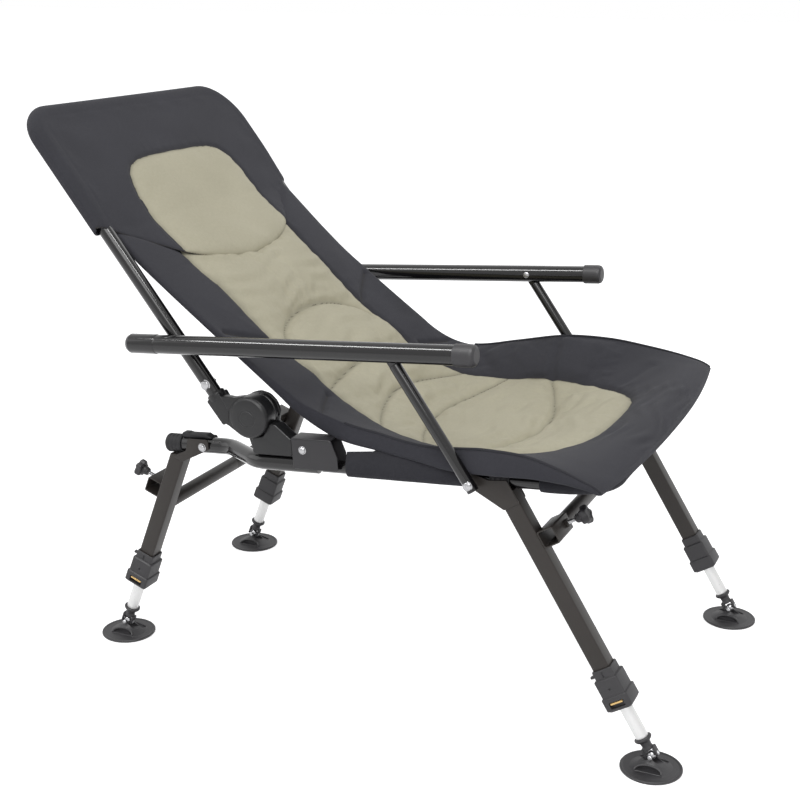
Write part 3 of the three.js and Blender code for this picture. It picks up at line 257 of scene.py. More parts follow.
# Turns local axes so that the turned piece's height runs along a direction, then moves it.
def along(shell, origin, direction, spin=0.0):
    p, f = shell
    w = np.asarray(direction, float) / np.linalg.norm(direction)
    seed = np.array([0.0, 1.0, 0.0]) if abs(w[1]) < 0.9 else np.array([1.0, 0.0, 0.0])
    u = np.cross(seed, w)
    u /= np.linalg.norm(u)
    v = np.cross(w, u)
    c, s = math.cos(spin), math.sin(spin)
    x, y = p[:, 0] * c - p[:, 1] * s, p[:, 0] * s + p[:, 1] * c
    return np.asarray(origin, float) + x[:, None] * u + y[:, None] * v + p[:, 2][:, None] * w, f


# A plate: an outline in X and Z drawn along Y, with rounded outline corners and bevelled edges.
# Each ring has a depth and is drawn in towards the outline's inside by its inset.
def plate(outline, yFrom, yTo, rounding=1.5, bevel=0.8, steps=4):
    p = soften(outline, rounding, steps, closed=True)
    if np.sum(p[:, 0] * np.roll(p[:, 1], -1) - np.roll(p[:, 0], -1) * p[:, 1]) < 0:
        p = p[::-1]
    edge = np.roll(p, -1, axis=0) - p
    edge /= np.maximum(np.linalg.norm(edge, axis=1), 1e-9)[:, None]
    inwards = np.stack([-edge[:, 1], edge[:, 0]], axis=-1)
    mitre = inwards + np.roll(inwards, 1, axis=0)
    mitre /= np.maximum(np.linalg.norm(mitre, axis=1), 1e-6)[:, None]
    arc = [(bevel * (1 - math.sin(a)), bevel * (1 - math.cos(a))) for a in np.linspace(0, 0.5 * np.pi, 4)]
    rings = []
    for y, inset in [(yFrom + d, s) for d, s in arc[::-1]] + [(yTo - d, s) for d, s in arc]:
        q = p + mitre * inset
        rings.append(np.stack([q[:, 0], np.full(len(q), y), q[:, 1]], axis=-1))
    count = len(p)
    faces = gridFaces(len(rings), count, wrapColumns=True).tolist()
    faces += [list(range(count)), list(range((len(rings) - 1) * count, len(rings) * count))[::-1]]
    return np.concatenate(rings), faces


# A box with rounded upright and cross edges, from its lowest and highest corners.
def softBox(low, high, rounding=1.5, bevel=1.0):
    outline = [(low[0], low[2]), (high[0], low[2]), (high[0], high[2]), (low[0], high[2])]
    return plate(outline, low[1], high[1], rounding, bevel)


# Moves a shell's points through a tilted frame.
def placed(tilted, shell):
    return tilted.place(shell[0]), shell[1]


# The same shell on the other side of the middle plane.
def mirrored(shell):
    return shell[0] * np.array([1, -1, 1]), [list(face)[::-1] for face in shell[1]]


# Moves a shell by a step.
def shifted(shell, x, y, z):
    return shell[0] + np.array([x, y, z], float), shell[1]


# Builds a right-hand piece and its mirror image in a frame, each with its body, CAD node and slot.
def pair(name, tilted, shell, material, body, node=None):
    shell = placed(tilted, shell) if tilted else shell
    made = []
    for side, form in (("right", shell), ("left", mirrored(shell))):
        piece = makePiece(f"{name}_{side}", *form, material)
        settle(piece, body.format(side=side), [node.format(side=side)] if node else ())
        made.append(piece)
    return made


# Shader helpers: one node with its values or links, a sum of two, a colour mix, and groups of nodes.
def addNode(tree, kind, values=None, **settings):
    made = tree.nodes.new("ShaderNode" + kind)
    for key, value in settings.items():
        setattr(made, key, value)
    for key, value in (values or {}).items():
        if isinstance(value, bpy.types.NodeSocket):
            tree.links.new(value, made.inputs[key])
        else:
            made.inputs[key].default_value = value
    return made


def maths(tree, operation, a, b=0.0, clamp=False):
    return addNode(tree, "Math", {0: a, 1: b}, operation=operation, use_clamp=clamp).outputs[0]


def mixColour(tree, share, low, high):
    return addNode(tree, "Mix", {0: share, 6: low, 7: high}, data_type="RGBA").outputs[2]


# Inputs are given as name: value, with None for a place; each output is a single value.
def makeGroup(name, inputs, outputs, build):
    tree = bpy.data.node_groups.new(name, "ShaderNodeTree")
    for label, value in inputs.items():
        kind = "NodeSocketVector" if value is None else "NodeSocketFloat"
        socket = tree.interface.new_socket(name=label, in_out="INPUT", socket_type=kind)
        if value is not None:
            socket.default_value = value
    for label in outputs:
        tree.interface.new_socket(name=label, in_out="OUTPUT", socket_type="NodeSocketFloat")
    source, sink = tree.nodes.new("NodeGroupInput"), tree.nodes.new("NodeGroupOutput")
    for label, result in build(tree, source.outputs).items():
        tree.links.new(result, sink.inputs[label])
    return tree


# Plain weave: threads over and under, height = |sin| of warp or weft on alternate squares.
def buildWeave(tree, source):
    spread = addNode(tree, "VectorMath", {0: source["Place"], "Scale": source["Threads"]}, operation="SCALE")
    parts = addNode(tree, "SeparateXYZ", {0: spread.outputs[0]})
    warp, weft = (maths(tree, "SINE", maths(tree, "MULTIPLY", parts.outputs[k], math.pi)) for k in (0, 1))
    over = maths(tree, "GREATER_THAN", maths(tree, "MULTIPLY", warp, weft), 0.0)
    under = maths(tree, "SUBTRACT", 1.0, over)
    height = maths(tree, "ADD", maths(tree, "MULTIPLY", maths(tree, "ABSOLUTE", warp), over),
                   maths(tree, "MULTIPLY", maths(tree, "ABSOLUTE", weft), under))
    slub = addNode(tree, "TexNoise", {"Vector": spread.outputs[0], "Scale": 0.35, "Detail": 3.0,
                                      "Roughness": 0.6})
    # Painted thread shading: thread crests lighter, hollows between threads darker, mixed with slub noise for
    # the yarn's own uneven colour.
    shadeAndTone = maths(tree, "ADD", maths(tree, "MULTIPLY", height, 0.55),
                 maths(tree, "MULTIPLY", slub.outputs[0], 0.45))
    return {"Height": height, "ThreadShadeAndSlub": shadeAndTone}


# Slow colour drift: two noises of different size, mixed, in the range -1 to 1 times the amount.
def buildDrift(tree, source):
    broad = addNode(tree, "TexNoise", {"Vector": source["Place"], "Scale": source["Broad"], "Detail": 2.0})
    fine = addNode(tree, "TexNoise", {"Vector": source["Place"], "Scale": source["Fine"], "Detail": 5.0,
                                      "Roughness": 0.65})
    both = maths(tree, "ADD", maths(tree, "MULTIPLY", broad.outputs[0], 0.6),
                 maths(tree, "MULTIPLY", fine.outputs[0], 0.4))
    centred = maths(tree, "SUBTRACT", both, 0.5)
    return {"Shift": maths(tree, "MULTIPLY", centred, source["Amount"]), "Grain": fine.outputs[0]}


# Stitches: dark dashes where the distance to the seam is small and the run along it is in a dash.
def buildStitchAndSeamShade(tree, source):
    near = maths(tree, "LESS_THAN", source["Distance"], source["Width"])
    run = maths(tree, "FRACT", maths(tree, "DIVIDE", source["Run"], source["Pitch"]))
    dash = maths(tree, "LESS_THAN", run, source["Share"])
    # Painted seam shade: the cloth darkens beside the seam as (1 - distance / Shadow)^2.
    seamShade = maths(tree, "SUBTRACT", 1.0, maths(tree, "DIVIDE", source["Distance"], source["Shadow"]),
                   clamp=True)
    return {"Thread": maths(tree, "MULTIPLY", near, dash), "PaintedSeamShade": maths(tree, "MULTIPLY", seamShade, seamShade)}


# Scuffs: thin bright scratches and dust specks as masks from stretched noise and small cells.
def buildScuff(tree, source):
    stretched = addNode(tree, "VectorMath", {0: source["Place"], 1: (1.0, 1.0, 0.18)}, operation="MULTIPLY")
    lines = addNode(tree, "TexNoise", {"Vector": stretched.outputs[0], "Scale": source["Scale"],
                                       "Detail": 6.0, "Roughness": 0.7})
    mask = addNode(tree, "MapRange", {"Value": lines.outputs[0], "From Min": 0.62, "From Max": 0.78})
    specks = addNode(tree, "TexVoronoi", {"Vector": source["Place"], "Scale": source["Specks"]})
    dots = maths(tree, "LESS_THAN", specks.outputs["Distance"], 0.07)
    return {"Mask": maths(tree, "MULTIPLY", mask.outputs[0], source["Amount"]),
            "Dust": maths(tree, "MULTIPLY", dots, source["Amount"])}


weaveGroup = makeGroup("plainWeave", {"Place": None, "Threads": 900.0}, ("Height", "ThreadShadeAndSlub"), buildWeave)
driftGroup = makeGroup("colourDrift", {"Place": None, "Broad": 9.0, "Fine": 120.0, "Amount": 0.3},
                       ("Shift", "Grain"), buildDrift)
stitchAndShadeGroup = makeGroup("stitchAndSeamShade", {"Distance": 1.0, "Run": 0.0, "Width": 0.0009, "Pitch": 0.0052,
                                       "Share": 0.55, "Shadow": 0.006}, ("Thread", "PaintedSeamShade"), buildStitchAndSeamShade)
scuffGroup = makeGroup("scuffAndDust", {"Place": None, "Scale": 60.0, "Specks": 260.0, "Amount": 0.5},
                       ("Mask", "Dust"), buildScuff)


# Colours are written as the screen shows them and turned to linear light here.
def tint(red, green, blue):
    shown = np.array([red, green, blue], float) / 255
    linear = np.where(shown <= 0.04045, shown / 12.92, ((shown + 0.055) / 1.055) ** 2.4)
    return (*linear.tolist(), 1.0)


def newMaterial(name, **values):
    material = bpy.data.materials.new(name)
    material.use_nodes = True
    shader = material.node_tree.nodes["Principled BSDF"]
    for socket, value in values.items():
        shader.inputs[socket.replace("_", " ")].default_value = value
    return material, material.node_tree, shader


# Feeds a finish: colour, roughness swinging about its middle with a value, and a bump from a height.
def feedShader(tree, shader, colour, rough, roughness, spread, height, bump, bumpDistance):
    low, high = max(roughness - spread / 2, 0.03), min(roughness + spread / 2, 1.0)
    reach = addNode(tree, "MapRange", {"Value": rough[0], "From Min": rough[1], "From Max": rough[2],
                                       "To Min": low, "To Max": high})
    relief = addNode(tree, "Bump", {"Strength": bump, "Distance": bumpDistance, "Height": height})
    tree.links.new(colour, shader.inputs["Base Color"])
    tree.links.new(reach.outputs[0], shader.inputs["Roughness"])
    tree.links.new(relief.outputs[0], shader.inputs["Normal"])


# A hard finish: base colour drifts and lightens at scuffs, roughness and a fine bump follow the grain.
def hardFinish(name, colour, light, roughness, roughSpread, bump, grain, scuff, specular=0.5, metallic=0.0,
               coat=0.0, dust=None):
    material, tree, shader = newMaterial(name, Metallic=metallic, Specular_IOR_Level=specular,
                                         Coat_Weight=coat, Coat_Roughness=0.05)
    place = addNode(tree, "TexCoord").outputs["Object"]
    drift = addNode(tree, "Group", {"Place": place, "Broad": 9.0, "Fine": grain, "Amount": 1.0},
                    node_tree=driftGroup)
    worn = addNode(tree, "Group", {"Place": place, "Amount": scuff}, node_tree=scuffGroup)
    mask = maths(tree, "ADD", maths(tree, "MULTIPLY", drift.outputs["Shift"], 0.8), worn.outputs["Mask"],
                 clamp=True)
    base = mixColour(tree, worn.outputs["Dust"], mixColour(tree, mask, tint(*colour), tint(*light)),
                     tint(*(dust or light)))
    grained = drift.outputs["Grain"]
    feedShader(tree, shader, base, (grained, 0.3, 0.7), roughness, roughSpread, grained, bump, 0.0004)
    return material


glossBlack = hardFinish("glossBlackTube", (15, 14, 15), (34, 33, 35), 0.2, 0.08, 0.04, 700.0, 0.25, 0.25,
                        coat=0.6)
satinBrown = hardFinish("satinBrownSteel", (50, 46, 43), (72, 68, 64), 0.42, 0.14, 0.1, 1100.0, 0.3, 0.32)
graphiteSteel = hardFinish("graphiteSteel", (50, 49, 51), (74, 73, 76), 0.4, 0.14, 0.1, 1100.0, 0.3, 0.35)
hubPlastic = hardFinish("hubPlastic", (28, 28, 29), (48, 47, 49), 0.34, 0.16, 0.2, 1500.0, 0.3, 0.4)
blackPlastic = hardFinish("blackPlastic", (52, 51, 53), (86, 85, 87), 0.5, 0.16, 0.22, 1500.0, 0.3, 0.45)
rubber = hardFinish("darkRubber", (36, 36, 38), (62, 62, 64), 0.62, 0.12, 0.25, 1300.0, 0.25, 0.35)
paleAlloy = hardFinish("paleAlloy", (226, 226, 225), (244, 244, 244), 0.34, 0.14, 0.05, 500.0, 0.35,
                       metallic=0.55, dust=(170, 170, 168))
brightZinc = hardFinish("brightZinc", (176, 176, 178), (222, 222, 222), 0.27, 0.18, 0.08, 800.0, 0.4,
                        metallic=0.9, dust=(120, 118, 114))
warmBrass = hardFinish("warmBrass", (222, 186, 120), (248, 232, 196), 0.34, 0.2, 0.06, 600.0, 0.4,
                       metallic=0.35, dust=(120, 92, 52))


# Cloth: UV in metres carries the weave; khaki inside the patch outline, charcoal outside it.
# Shade = painted thread shading and slub colour of the weave, plus drift; painted shade darkens the cloth
# beside the seams and stitches show as short dashes beside them.
def clothFinish(name, dark, darkHigh, pale=None, paleHigh=None, threads=700.0, bump=0.25):
    material, tree, shader = newMaterial(name, Specular_IOR_Level=0.25, Sheen_Weight=0.04,
                                         Sheen_Roughness=0.5)
    place = addNode(tree, "UVMap", uv_map="plan").outputs[0]
    weave = addNode(tree, "Group", {"Place": place, "Threads": threads}, node_tree=weaveGroup)
    drift = addNode(tree, "Group", {"Place": place, "Broad": 7.0, "Fine": 160.0, "Amount": 0.9},
                    node_tree=driftGroup)
    shadeAndTone = maths(tree, "ADD", maths(tree, "MULTIPLY", weave.outputs["ThreadShadeAndSlub"], 0.5), drift.outputs["Shift"],
                 clamp=True)
    colour = mixColour(tree, shadeAndTone, tint(*dark), tint(*darkHigh))
    if pale:
        inset, distance, run = (addNode(tree, "Attribute", attribute_name=layer).outputs["Fac"]
                                for layer in ("patchInset", "seamDistance", "seamRun"))
        edge = addNode(tree, "MapRange", {"Value": inset, "From Min": -0.0004, "From Max": 0.0004})
        colour = mixColour(tree, edge.outputs[0], colour, mixColour(tree, shadeAndTone, tint(*pale), tint(*paleHigh)))
        stitch = addNode(tree, "Group", {"Distance": distance, "Run": run}, node_tree=stitchAndShadeGroup)
        # Painted seam shade darkens the cloth beside each seam, then thread-coloured stitch dashes go on top.
        for mark, strength, shade in (("PaintedSeamShade", 0.42, (38, 36, 32)), ("Thread", 0.75, (66, 60, 48))):
            share = maths(tree, "MULTIPLY", stitch.outputs[mark], strength)
            colour = mixColour(tree, share, colour, tint(*shade))
    feedShader(tree, shader, colour, (shadeAndTone, 0.0, 1.0), 0.88, 0.12, weave.outputs["Height"], bump, 0.0005)
    return material


coverCloth = clothFinish("coverCloth", (43, 43, 48), (67, 67, 74), (174, 169, 146), (206, 201, 178))
darkCloth = clothFinish("darkCloth", (40, 40, 45), (62, 62, 67), threads=620.0)
slingCloth = clothFinish("slingCloth", (36, 36, 41), (58, 58, 64), threads=450.0, bump=0.35)
print("materials made")

bolt = {"radius": 6.5, "depth": 4.0, "washer": 8.2, "seat": 1.2}


# A bright domed bolt head with a washer: the dome's height is depth * sqrt(1 - (r / R)^2).
def boltShell(origin, direction, radius=bolt["radius"], depth=bolt["depth"], washer=bolt["washer"]):
    seat = bolt["seat"]
    radii = radius * np.cos(np.linspace(0, 0.5 * np.pi, 9))
    dome = [(r, seat + (depth - seat) * math.sqrt(max(1 - (r / radius) ** 2, 0))) for r in radii]
    profile = [(0, -0.6), (washer, -0.6), (washer, 0.7), (radius, 0.9)] + dome[1:-1] + [(0, depth)]
    return along(turned(profile, 0.25, 32, steps=2), origin, direction)


# Hex nut with a small thread end: radius varies as cos(30) / cos(folded angle).
def nutShell(origin, direction, across=10.0, height=4.2, thread=2.4):
    angle = np.arange(36) / 36 * 2 * np.pi
    folded = (angle + np.pi / 6) % (np.pi / 3) - np.pi / 6
    heights = np.array([-0.5, 0.0, height - 0.5, height, height, height + thread, height + thread])
    scales = np.array([0.0, 1.0, 1.0, 0.88, 0.46, 0.46, 0.0])
    r = (across / 2 / np.cos(folded))[None, :] * scales[:, None]
    points = np.stack([r * np.cos(angle), r * np.sin(angle), heights[:, None] + 0 * angle], axis=-1)
    return along((points.reshape(-1, 3), gridFaces(7, 36, wrapColumns=True)), origin, direction)


# One tube that is bent to both sides of the chair: a U in its frame.
def bentTube(name, tilted, places, bend, steps, radius, sides, body, node):
    path = bentPath(places, bend, steps)
    tube = makePiece(name, *placed(tilted, sweep(path, radius, sides)), glossBlack)
    settle(tube, body, [node])
    return tube, path


# Rear rails: bent outwards on each side towards the hub.
railY = -rearRail["innerY"]
railPath = bentPath([[rearRail["rearX"], railY, 0], [rearRail["bendFromX"], railY, 0],
                     [rearRail["bendToX"], -seatRail["y"], 0], [rearRail["frontX"], -seatRail["y"], 0]],
                    rearRail["radius"] * 4, 12)
pair("rearRail", chassisFrame, sweep(railPath, rearRail["radius"], 40), glossBlack, "seat",
     "rear_rail_{side}")

# Ribbed caps on the rear rails: grip rings along a rounded plug.
railCap = {"radius": 14.5, "length": 31.0, "bore": 7.0, "ribs": 4, "groove": 0.44, "gap": 0.3,
           "ribsFrom": 5.0}
capPitch = (railCap["length"] - railCap["ribsFrom"]) / railCap["ribs"]
capProfile = [(0, 0), (9.0, 0), (13.2, 3.0)]
for k in range(railCap["ribs"]):
    start = railCap["ribsFrom"] + k * capPitch
    capProfile += [(railCap["radius"] - dip, start + capPitch * share) for dip, share in
                   ((0, 0), (0, 0.62), (railCap["groove"], 0.68), (railCap["groove"], 0.94))]
capProfile += [(railCap["radius"], railCap["length"] - 0.4), (12.8, railCap["length"]),
               (0, railCap["length"])]
capStart = [rearRail["rearX"] - railCap["gap"] - railCap["length"] + railCap["bore"], railY, 0]
pair("railCap", chassisFrame, along(turned(capProfile, 0.5, 44), capStart, [1, 0, 0]), rubber, "seat",
     "rear_rail_cap_{side}")

# The rubber strip on top of each rear rail: a rounded bar with sloping nose and a raised rear lip.
strip = {"rearX": -324.0, "length": 56.0, "halfWidth": 7.5, "depth": 7.0, "taper": 12.0, "sunk": 1.4}
stripFoot, stripFront = rearRail["radius"] - strip["sunk"], strip["rearX"] + strip["length"]
stripTop = stripFoot + strip["depth"]
stripOutline = [(strip["rearX"], stripFoot), (stripFront, stripFoot),
                (stripFront - strip["taper"], stripTop + 0.6), (strip["rearX"] + 14, stripTop + 0.2),
                (strip["rearX"] + 9, stripTop + 1.6), (strip["rearX"], stripTop + 1.6)]
pair("railStrip", chassisFrame,
     plate(stripOutline, railY - strip["halfWidth"], railY + strip["halfWidth"], 1.6, 2.2),
     rubber, "seat", "rail_bumper_{side}")

# Seat rail: one tube forward on both sides and across the front.
acrossSides = (-1, -1, 1, 1)
seatStops = zip((seatRail["rearX"], seatRail["frontX"], seatRail["frontX"], seatRail["rearX"]), acrossSides)
seatPlaces = [[x, side * seatRail["y"], 0] for x, side in seatStops]
seatTube, seatPath = bentTube("seatRail", chassisFrame, seatPlaces, seatRail["bend"], 14, seatRail["radius"],
                              36, "seat", "seat_rail")

# Back tube: one U from hub to hub under the hood.
backStops = zip((back["foot"], back["top"], back["top"], back["foot"]), acrossSides)
bentTube("backTube", backFrame, [[-back["offset"], side * back["y"], z] for z, side in backStops],
         back["bend"], 16, back["tube"], 40, "recline", "back_tube")
backFace = back["tube"] - bolt["seat"]
armPin = along(turned([(0, 0), (4, 0), (4, 16), (0, 16)], 0.3, 24),
               [-back["offset"], -back["y"] - 16, back["armPivot"]], [0, 1, 0])
pair("armPin", backFrame, armPin, brightZinc, "recline")
pair("backBolt", backFrame, boltShell([-back["offset"], -back["y"] - backFace, back["boltAt"]], [0, -1, 0]),
     brightZinc, "recline")
pair("backNut", backFrame, nutShell([-back["offset"], -back["y"] + backFace, back["boltAt"]], [0, 1, 0]),
     glossBlack, "recline")

# Armrests: a tube between a rear cap and a thicker front cap.
armY, armRadius = -armrest["y"], armrest["radius"]
armTube = sweep([[x, armY, 0] for x in (armrest["rearGripTo"] - 32.0, 0, 220, armrest["front"] + 4.0)],
                armRadius, 44)
pair("armTube", armFrame, armTube, glossBlack, "arm_{side}", "armrest_{side}")
rearCap = [(0, 0), (8.6, 0), (12.2, 1.6), (armRadius + 0.7, 6.5), (armRadius + 0.7, 50.0),
           (armRadius + 0.1, 51.6), (9.0, 51.8), (0, 51.8)]
pair("armRearCap", armFrame, along(turned(rearCap, 2.2, 48), [-armrest["rearGrip"], armY, 0], [1, 0, 0]),
     glossBlack, "arm_{side}", "arm_rear_grip_{side}")
gripOuter = armRadius + 1.7
frontCap = [(0, 0.4), (armRadius - 1, 0.4), (armRadius + 0.2, 0), (gripOuter, 0.6), (gripOuter, 24.5),
            (gripOuter - 1.2, 28.6), (11.0, armrest["frontGrip"]), (0, armrest["frontGrip"])]
pair("armFrontCap", armFrame, along(turned(frontCap, 2.4, 48), [armrest["front"], armY, 0], [1, 0, 0]),
     blackPlastic, "arm_{side}", "arm_front_grip_{side}")
rivet = boltShell([armrest["strutAt"], armY + armRadius - 0.6, 0], [0, 1, 0], 4.6, 2.8, 5.2)
pair("armRivet", armFrame, rivet, brightZinc, "arm_{side}")

# Armrest struts: a tube flattened into an ear inside the armrest.
strut = {"radius": 8.5, "tail": 10.5, "neck": 27.0, "ear": 8.0, "earHalf": 3.0}
neckAt, earHalf = strutLength - strut["neck"], strut["earHalf"]
strutTube = sweep([[0, armY, z] for z in (-strut["tail"], 40, neckAt + 8)], strut["radius"], 36)
earRight = [(strut["ear"], neckAt - 4), (strut["ear"], strutLength + 3),
            (strut["ear"] * 0.5, strutLength + strut["ear"])]
earOutline = [(-earRight[0][0], earRight[0][1])] + earRight + [(-x, z) for x, z in earRight[:0:-1]]
pair("armStrut", strutFrame, gather(strutTube, plate(earOutline, armY - earHalf, armY + earHalf, 2.5, 0.8)),
     glossBlack, "strut_{side}", "arm_strut_{side}")
pair("strutBolt", strutFrame, boltShell([0, armY - strut["radius"] + 1.6, 0], [0, -1, 0], 6.2, 4.0, 7.2),
     brightZinc, "strut_{side}")
print("tubes made")

# Recline hubs. A notched drum inside the cover: the radius falls by depth * (1 - cos(12 a)) round it.
drumProfile = [(0, 0), (28.5, 0), (30.6, 1.6), (30.6, 5.0), (28.6, 5.6), (28.6, 12.4), (30.6, 13.0),
               (30.6, 16.4), (28.5, 17.6), (0, 17.6)]
hubDrum = along(turned(drumProfile, 0.5, 72, lobes=12, lobeDepth=0.006),
                [hub["x"], 0.6 - hub["armInnerY"], hub["lift"]], [0, 1, 0])
pair("hubDrum", chassisFrame, hubDrum, hubPlastic, "seat")
saddleOutline = [(-165, 14), (-99, 14), (-99, 39), (-124, 60), (-134, 61), (-146, 42), (-164, 39), (-166, 34)]
saddleY = -seatRail["y"]
saddle = plate(saddleOutline, saddleY - 12.6, saddleY + 12.6, 4.0, 2.0, 6)
tongue = softBox([-100, saddleY - 11.4, 12.6], [-64, saddleY + 11.4, 37], 2.0, 1.2)
keel = softBox([-160, saddleY - 5, 8], [-102, saddleY + 5, 20], 2.0, 1.0)
web = plate([(-180, 16), (-134, 16), (-134, 70), (-194, 70)], -250.4, -237, 6.0, 2.0)
pair("hubSaddle", chassisFrame, gather(saddle, tongue, keel, web), hubPlastic, "seat", "hub_base_{side}")

# The turning arm: a socket sleeve for the back tube, a web plate, the disc and a collar ring on the tube.
armOuter = hub["outerY"] - hub["cover"] - 0.3
socketLeft, socketRight = -back["offset"] - 13.2, -back["offset"] + 13.2
sleeveOutline = [(socketLeft, 56.5), (socketLeft + 0.8, 13.4), (-35.3, 11.5), (socketRight - 3, 24),
                 (socketRight, 56.5)]
webOutline = [(socketLeft + 1, 40), (socketLeft + 1.6, 20), (-38.5, 8), (-31, -12), (-18, -25), (0, -30),
              (18, -25), (30, 0), (24, 20), (8, 31.5), (-6, 38), (socketRight, 50)]
discProfile = [(0, 0), (hub["radius"] - 0.4, 0), (hub["radius"], 2.4), (hub["radius"], 24.6), (0, 24.6)]
collarBore = back["tube"] + 0.2
collarProfile = [(collarBore, 0), (13.4, 0), (14.0, 1.2), (14.0, 9.0), (13.0, 11.0), (collarBore, 11.0)]
hubArm = gather(plate(sleeveOutline, -armOuter, -hub["armInnerY"], 3.0, 1.8, 6),
                plate(webOutline, -armOuter + 0.8, -262, 4.0, 1.6, 6),
                along(turned(discProfile, 1.0, 72), [0, -armOuter - 0.2, 0], [0, 1, 0]),
                along(turned(collarProfile, 0.6, 40), [-back["offset"], -back["y"], 49.5], [0, 0, 1]))
pair("hubArm", backFrame, hubArm, hubPlastic, "recline", "hub_arm_{side}")

# The cover: a shallow dome with a raised ring groove and a plain round boss in the middle.
coverRim = hub["radius"] - 0.2
coverProfile = [(0, 7.2), (4, 7.15), (10.5, 6.9), (11.3, 6.2), (13.6, 6.2), (14.4, 6.8), (22, 6.3),
                (27.6, 5.2), (29.6, 3.6), (coverRim, 1.6), (coverRim, 0), (0, 0)]
hubCover = along(turned(coverProfile, 0.8, 72), [0, -hub["outerY"] + hub["cover"], 0], [0, -1, 0])
pair("hubCover", backFrame, hubCover, hubPlastic, "recline", "hub_cover_{side}")
print("hubs made")


# Leg frames, brackets and clips. A tower of rounded square rings from a profile of (half side, height).
def squareTurned(profile, cornerRadius, rounding=0.8, closed=False):
    p = soften(profile, rounding, 3, closed=closed)
    quarter = np.linspace(0, 0.5 * np.pi, 5)
    angle = np.concatenate([quarter + k * np.pi / 2 for k in range(4)])
    sideX, sideY = np.repeat([1, -1, -1, 1], 5), np.repeat([1, 1, -1, -1], 5)
    half, height = p[:, 0][:, None], p[:, 1][:, None]
    r = np.minimum(cornerRadius, half)
    points = np.stack([(half - r) * sideX + r * np.cos(angle), (half - r) * sideY + r * np.sin(angle),
                       height + 0 * angle], axis=-1)
    return points.reshape(-1, 3), gridFaces(len(p), len(angle), wrapRows=closed, wrapColumns=True)


# A plate drawn in Y and Z and set along X.
def crossPlate(outline, xFrom, xTo, rounding=1.5, bevel=0.8):
    points, faces = plate(outline, xFrom, xTo, rounding, bevel)
    return points[:, [1, 0, 2]], [list(face)[::-1] for face in faces]


# Cuts closed shells out of a piece with exact booleans and keeps the result as its mesh.
def carve(piece, *shells):
    material = piece.data.materials[0]
    cutters = [makePiece("cutter", *shell, material) for shell in shells]
    for k, cutter in enumerate(cutters):
        cut = piece.modifiers.new(f"cut{k}", "BOOLEAN")
        cut.operation, cut.solver, cut.object = "DIFFERENCE", "EXACT", cutter
    bpy.context.view_layer.update()
    mesh = bpy.data.meshes.new_from_object(piece.evaluated_get(bpy.context.evaluated_depsgraph_get()))
    piece.modifiers.clear()
    piece.data = mesh
    mesh.materials.clear()
    mesh.materials.append(material)
    smoothShade(mesh, 40)
    for cutter in cutters:
        bpy.data.objects.remove(cutter)


legWall, cheekSheet, cheekNose, barRadius = 1.7, 2.5, 11.0, 11.2
socketSize, socketLength = 25.4, 60.0


# Slides points that stand over a level of the chassis frame down along the leg to that level.
def cutUnder(points, legFrame, level):
    local = chassisFrame.local(points[:, 0], points[:, 2])
    axis = legFrame.point(0, 1) - legFrame.point(0, 0)
    rise = chassisFrame.local(*(chassisFrame.point(0, 0) + axis))[1]
    over = np.maximum(local[1] - level, 0) / rise
    return points - np.stack([axis[0] * over, 0 * over, axis[1] * over], axis=-1)


# One leg with its cheeks, socket and the halves of its crossbar; the mirror image makes the frame whole.
def legSide(legFrame, leg, railRadius, cheekOutline):
    outer, inner = leg["y"] + legHalf, leg["y"] - legHalf
    tube = squareTurned([(0, leg["foot"]), (legHalf, leg["foot"]), (legHalf, leg["top"]), (0, leg["top"])],
                        2.6, 0.5)
    tube = placed(legFrame, shifted(tube, 0, -leg["y"], 0))
    tube = cutUnder(tube[0], legFrame, -railRadius - 0.5), tube[1]
    side, half = leg["socketSide"], socketSize / 2
    ring = squareTurned([(half, 0), (half, socketLength), (half - legWall, socketLength),
                         (half - legWall, 0)],
                        2.4, 0.3, closed=True)
    socket = along(ring, [side * (legHalf + half), -leg["y"] - leg["overhang"], leg["socketAt"]], [0, 1, 0])
    bar = sweep([[0, y, leg["barAt"]] for y in (-inner - 1, -inner / 2, 0)], barRadius, 40, lip=0.1)
    seat = [side * (legHalf + socketSize), -leg["knobY"], leg["socketAt"]]
    nut = nutShell(seat, [side, 0, 0], 11.0, 4.5, 0.4)
    cheeks = [plate(cheekOutline, y, y + cheekSheet, 3.0, 0.7) for y in (-outer - cheekSheet, -inner)]
    return gather(tube, *cheeks, *(placed(legFrame, shell) for shell in (socket, bar, nut)))


# Points on the cheek's round nose about a pivot of the chassis frame, by angle in degrees.
def nosePoints(pivotX, start, end):
    turn = np.radians(np.linspace(start, end, 9))
    return [chassisFrame.point(pivotX + cheekNose * math.cos(a), cheekNose * math.sin(a)) for a in turn]


clip = {"from": frontPivotX + 22.0, "length": 28.0, "wall": 2.6, "ribs": 3, "pitch": 8}
frontCheek = [*nosePoints(frontPivotX, 100, 235),
              frontLegFrame.point(-legHalf, frontLeg["top"] - frontLeg["cheekDrop"]),
              frontLegFrame.point(legHalf, frontLeg["top"] - frontLeg["cheekDrop"]),
              frontLegFrame.point(legHalf, frontLeg["top"]),
              chassisFrame.point(clip["from"], seatRail["radius"] / 3)]
rearCheek = [chassisFrame.point(rearPivotX + cheekNose, rearRail["radius"]),
             chassisFrame.point(rearPivotX - 2 * legHalf, rearRail["radius"]),
             chassisFrame.point(rearPivotX - 2 * legHalf - cheekNose / 2, -7.25),
             rearLegFrame.point(-legHalf / 2, rearLeg["top"] - rearLeg["cheekDrop"]),
             rearLegFrame.point(legHalf, rearLeg["top"] - rearLeg["cheekDrop"]),
             chassisFrame.point(rearPivotX + cheekNose, -cheekNose / 3)]
ends = (("front", frontLegFrame, frontLeg), ("rear", rearLegFrame, rearLeg))
railGap = {"front": seatRail["radius"], "rear": 14.5}
for (end, legFrame, leg), cheek in zip(ends, (frontCheek, rearCheek)):
    half = legSide(legFrame, leg, railGap[end], cheek)
    settle(makePiece(f"{end}Legs", *gather(half, mirrored(half)), satinBrown), f"{end}_fold",
           [f"{end}_leg_frame"])
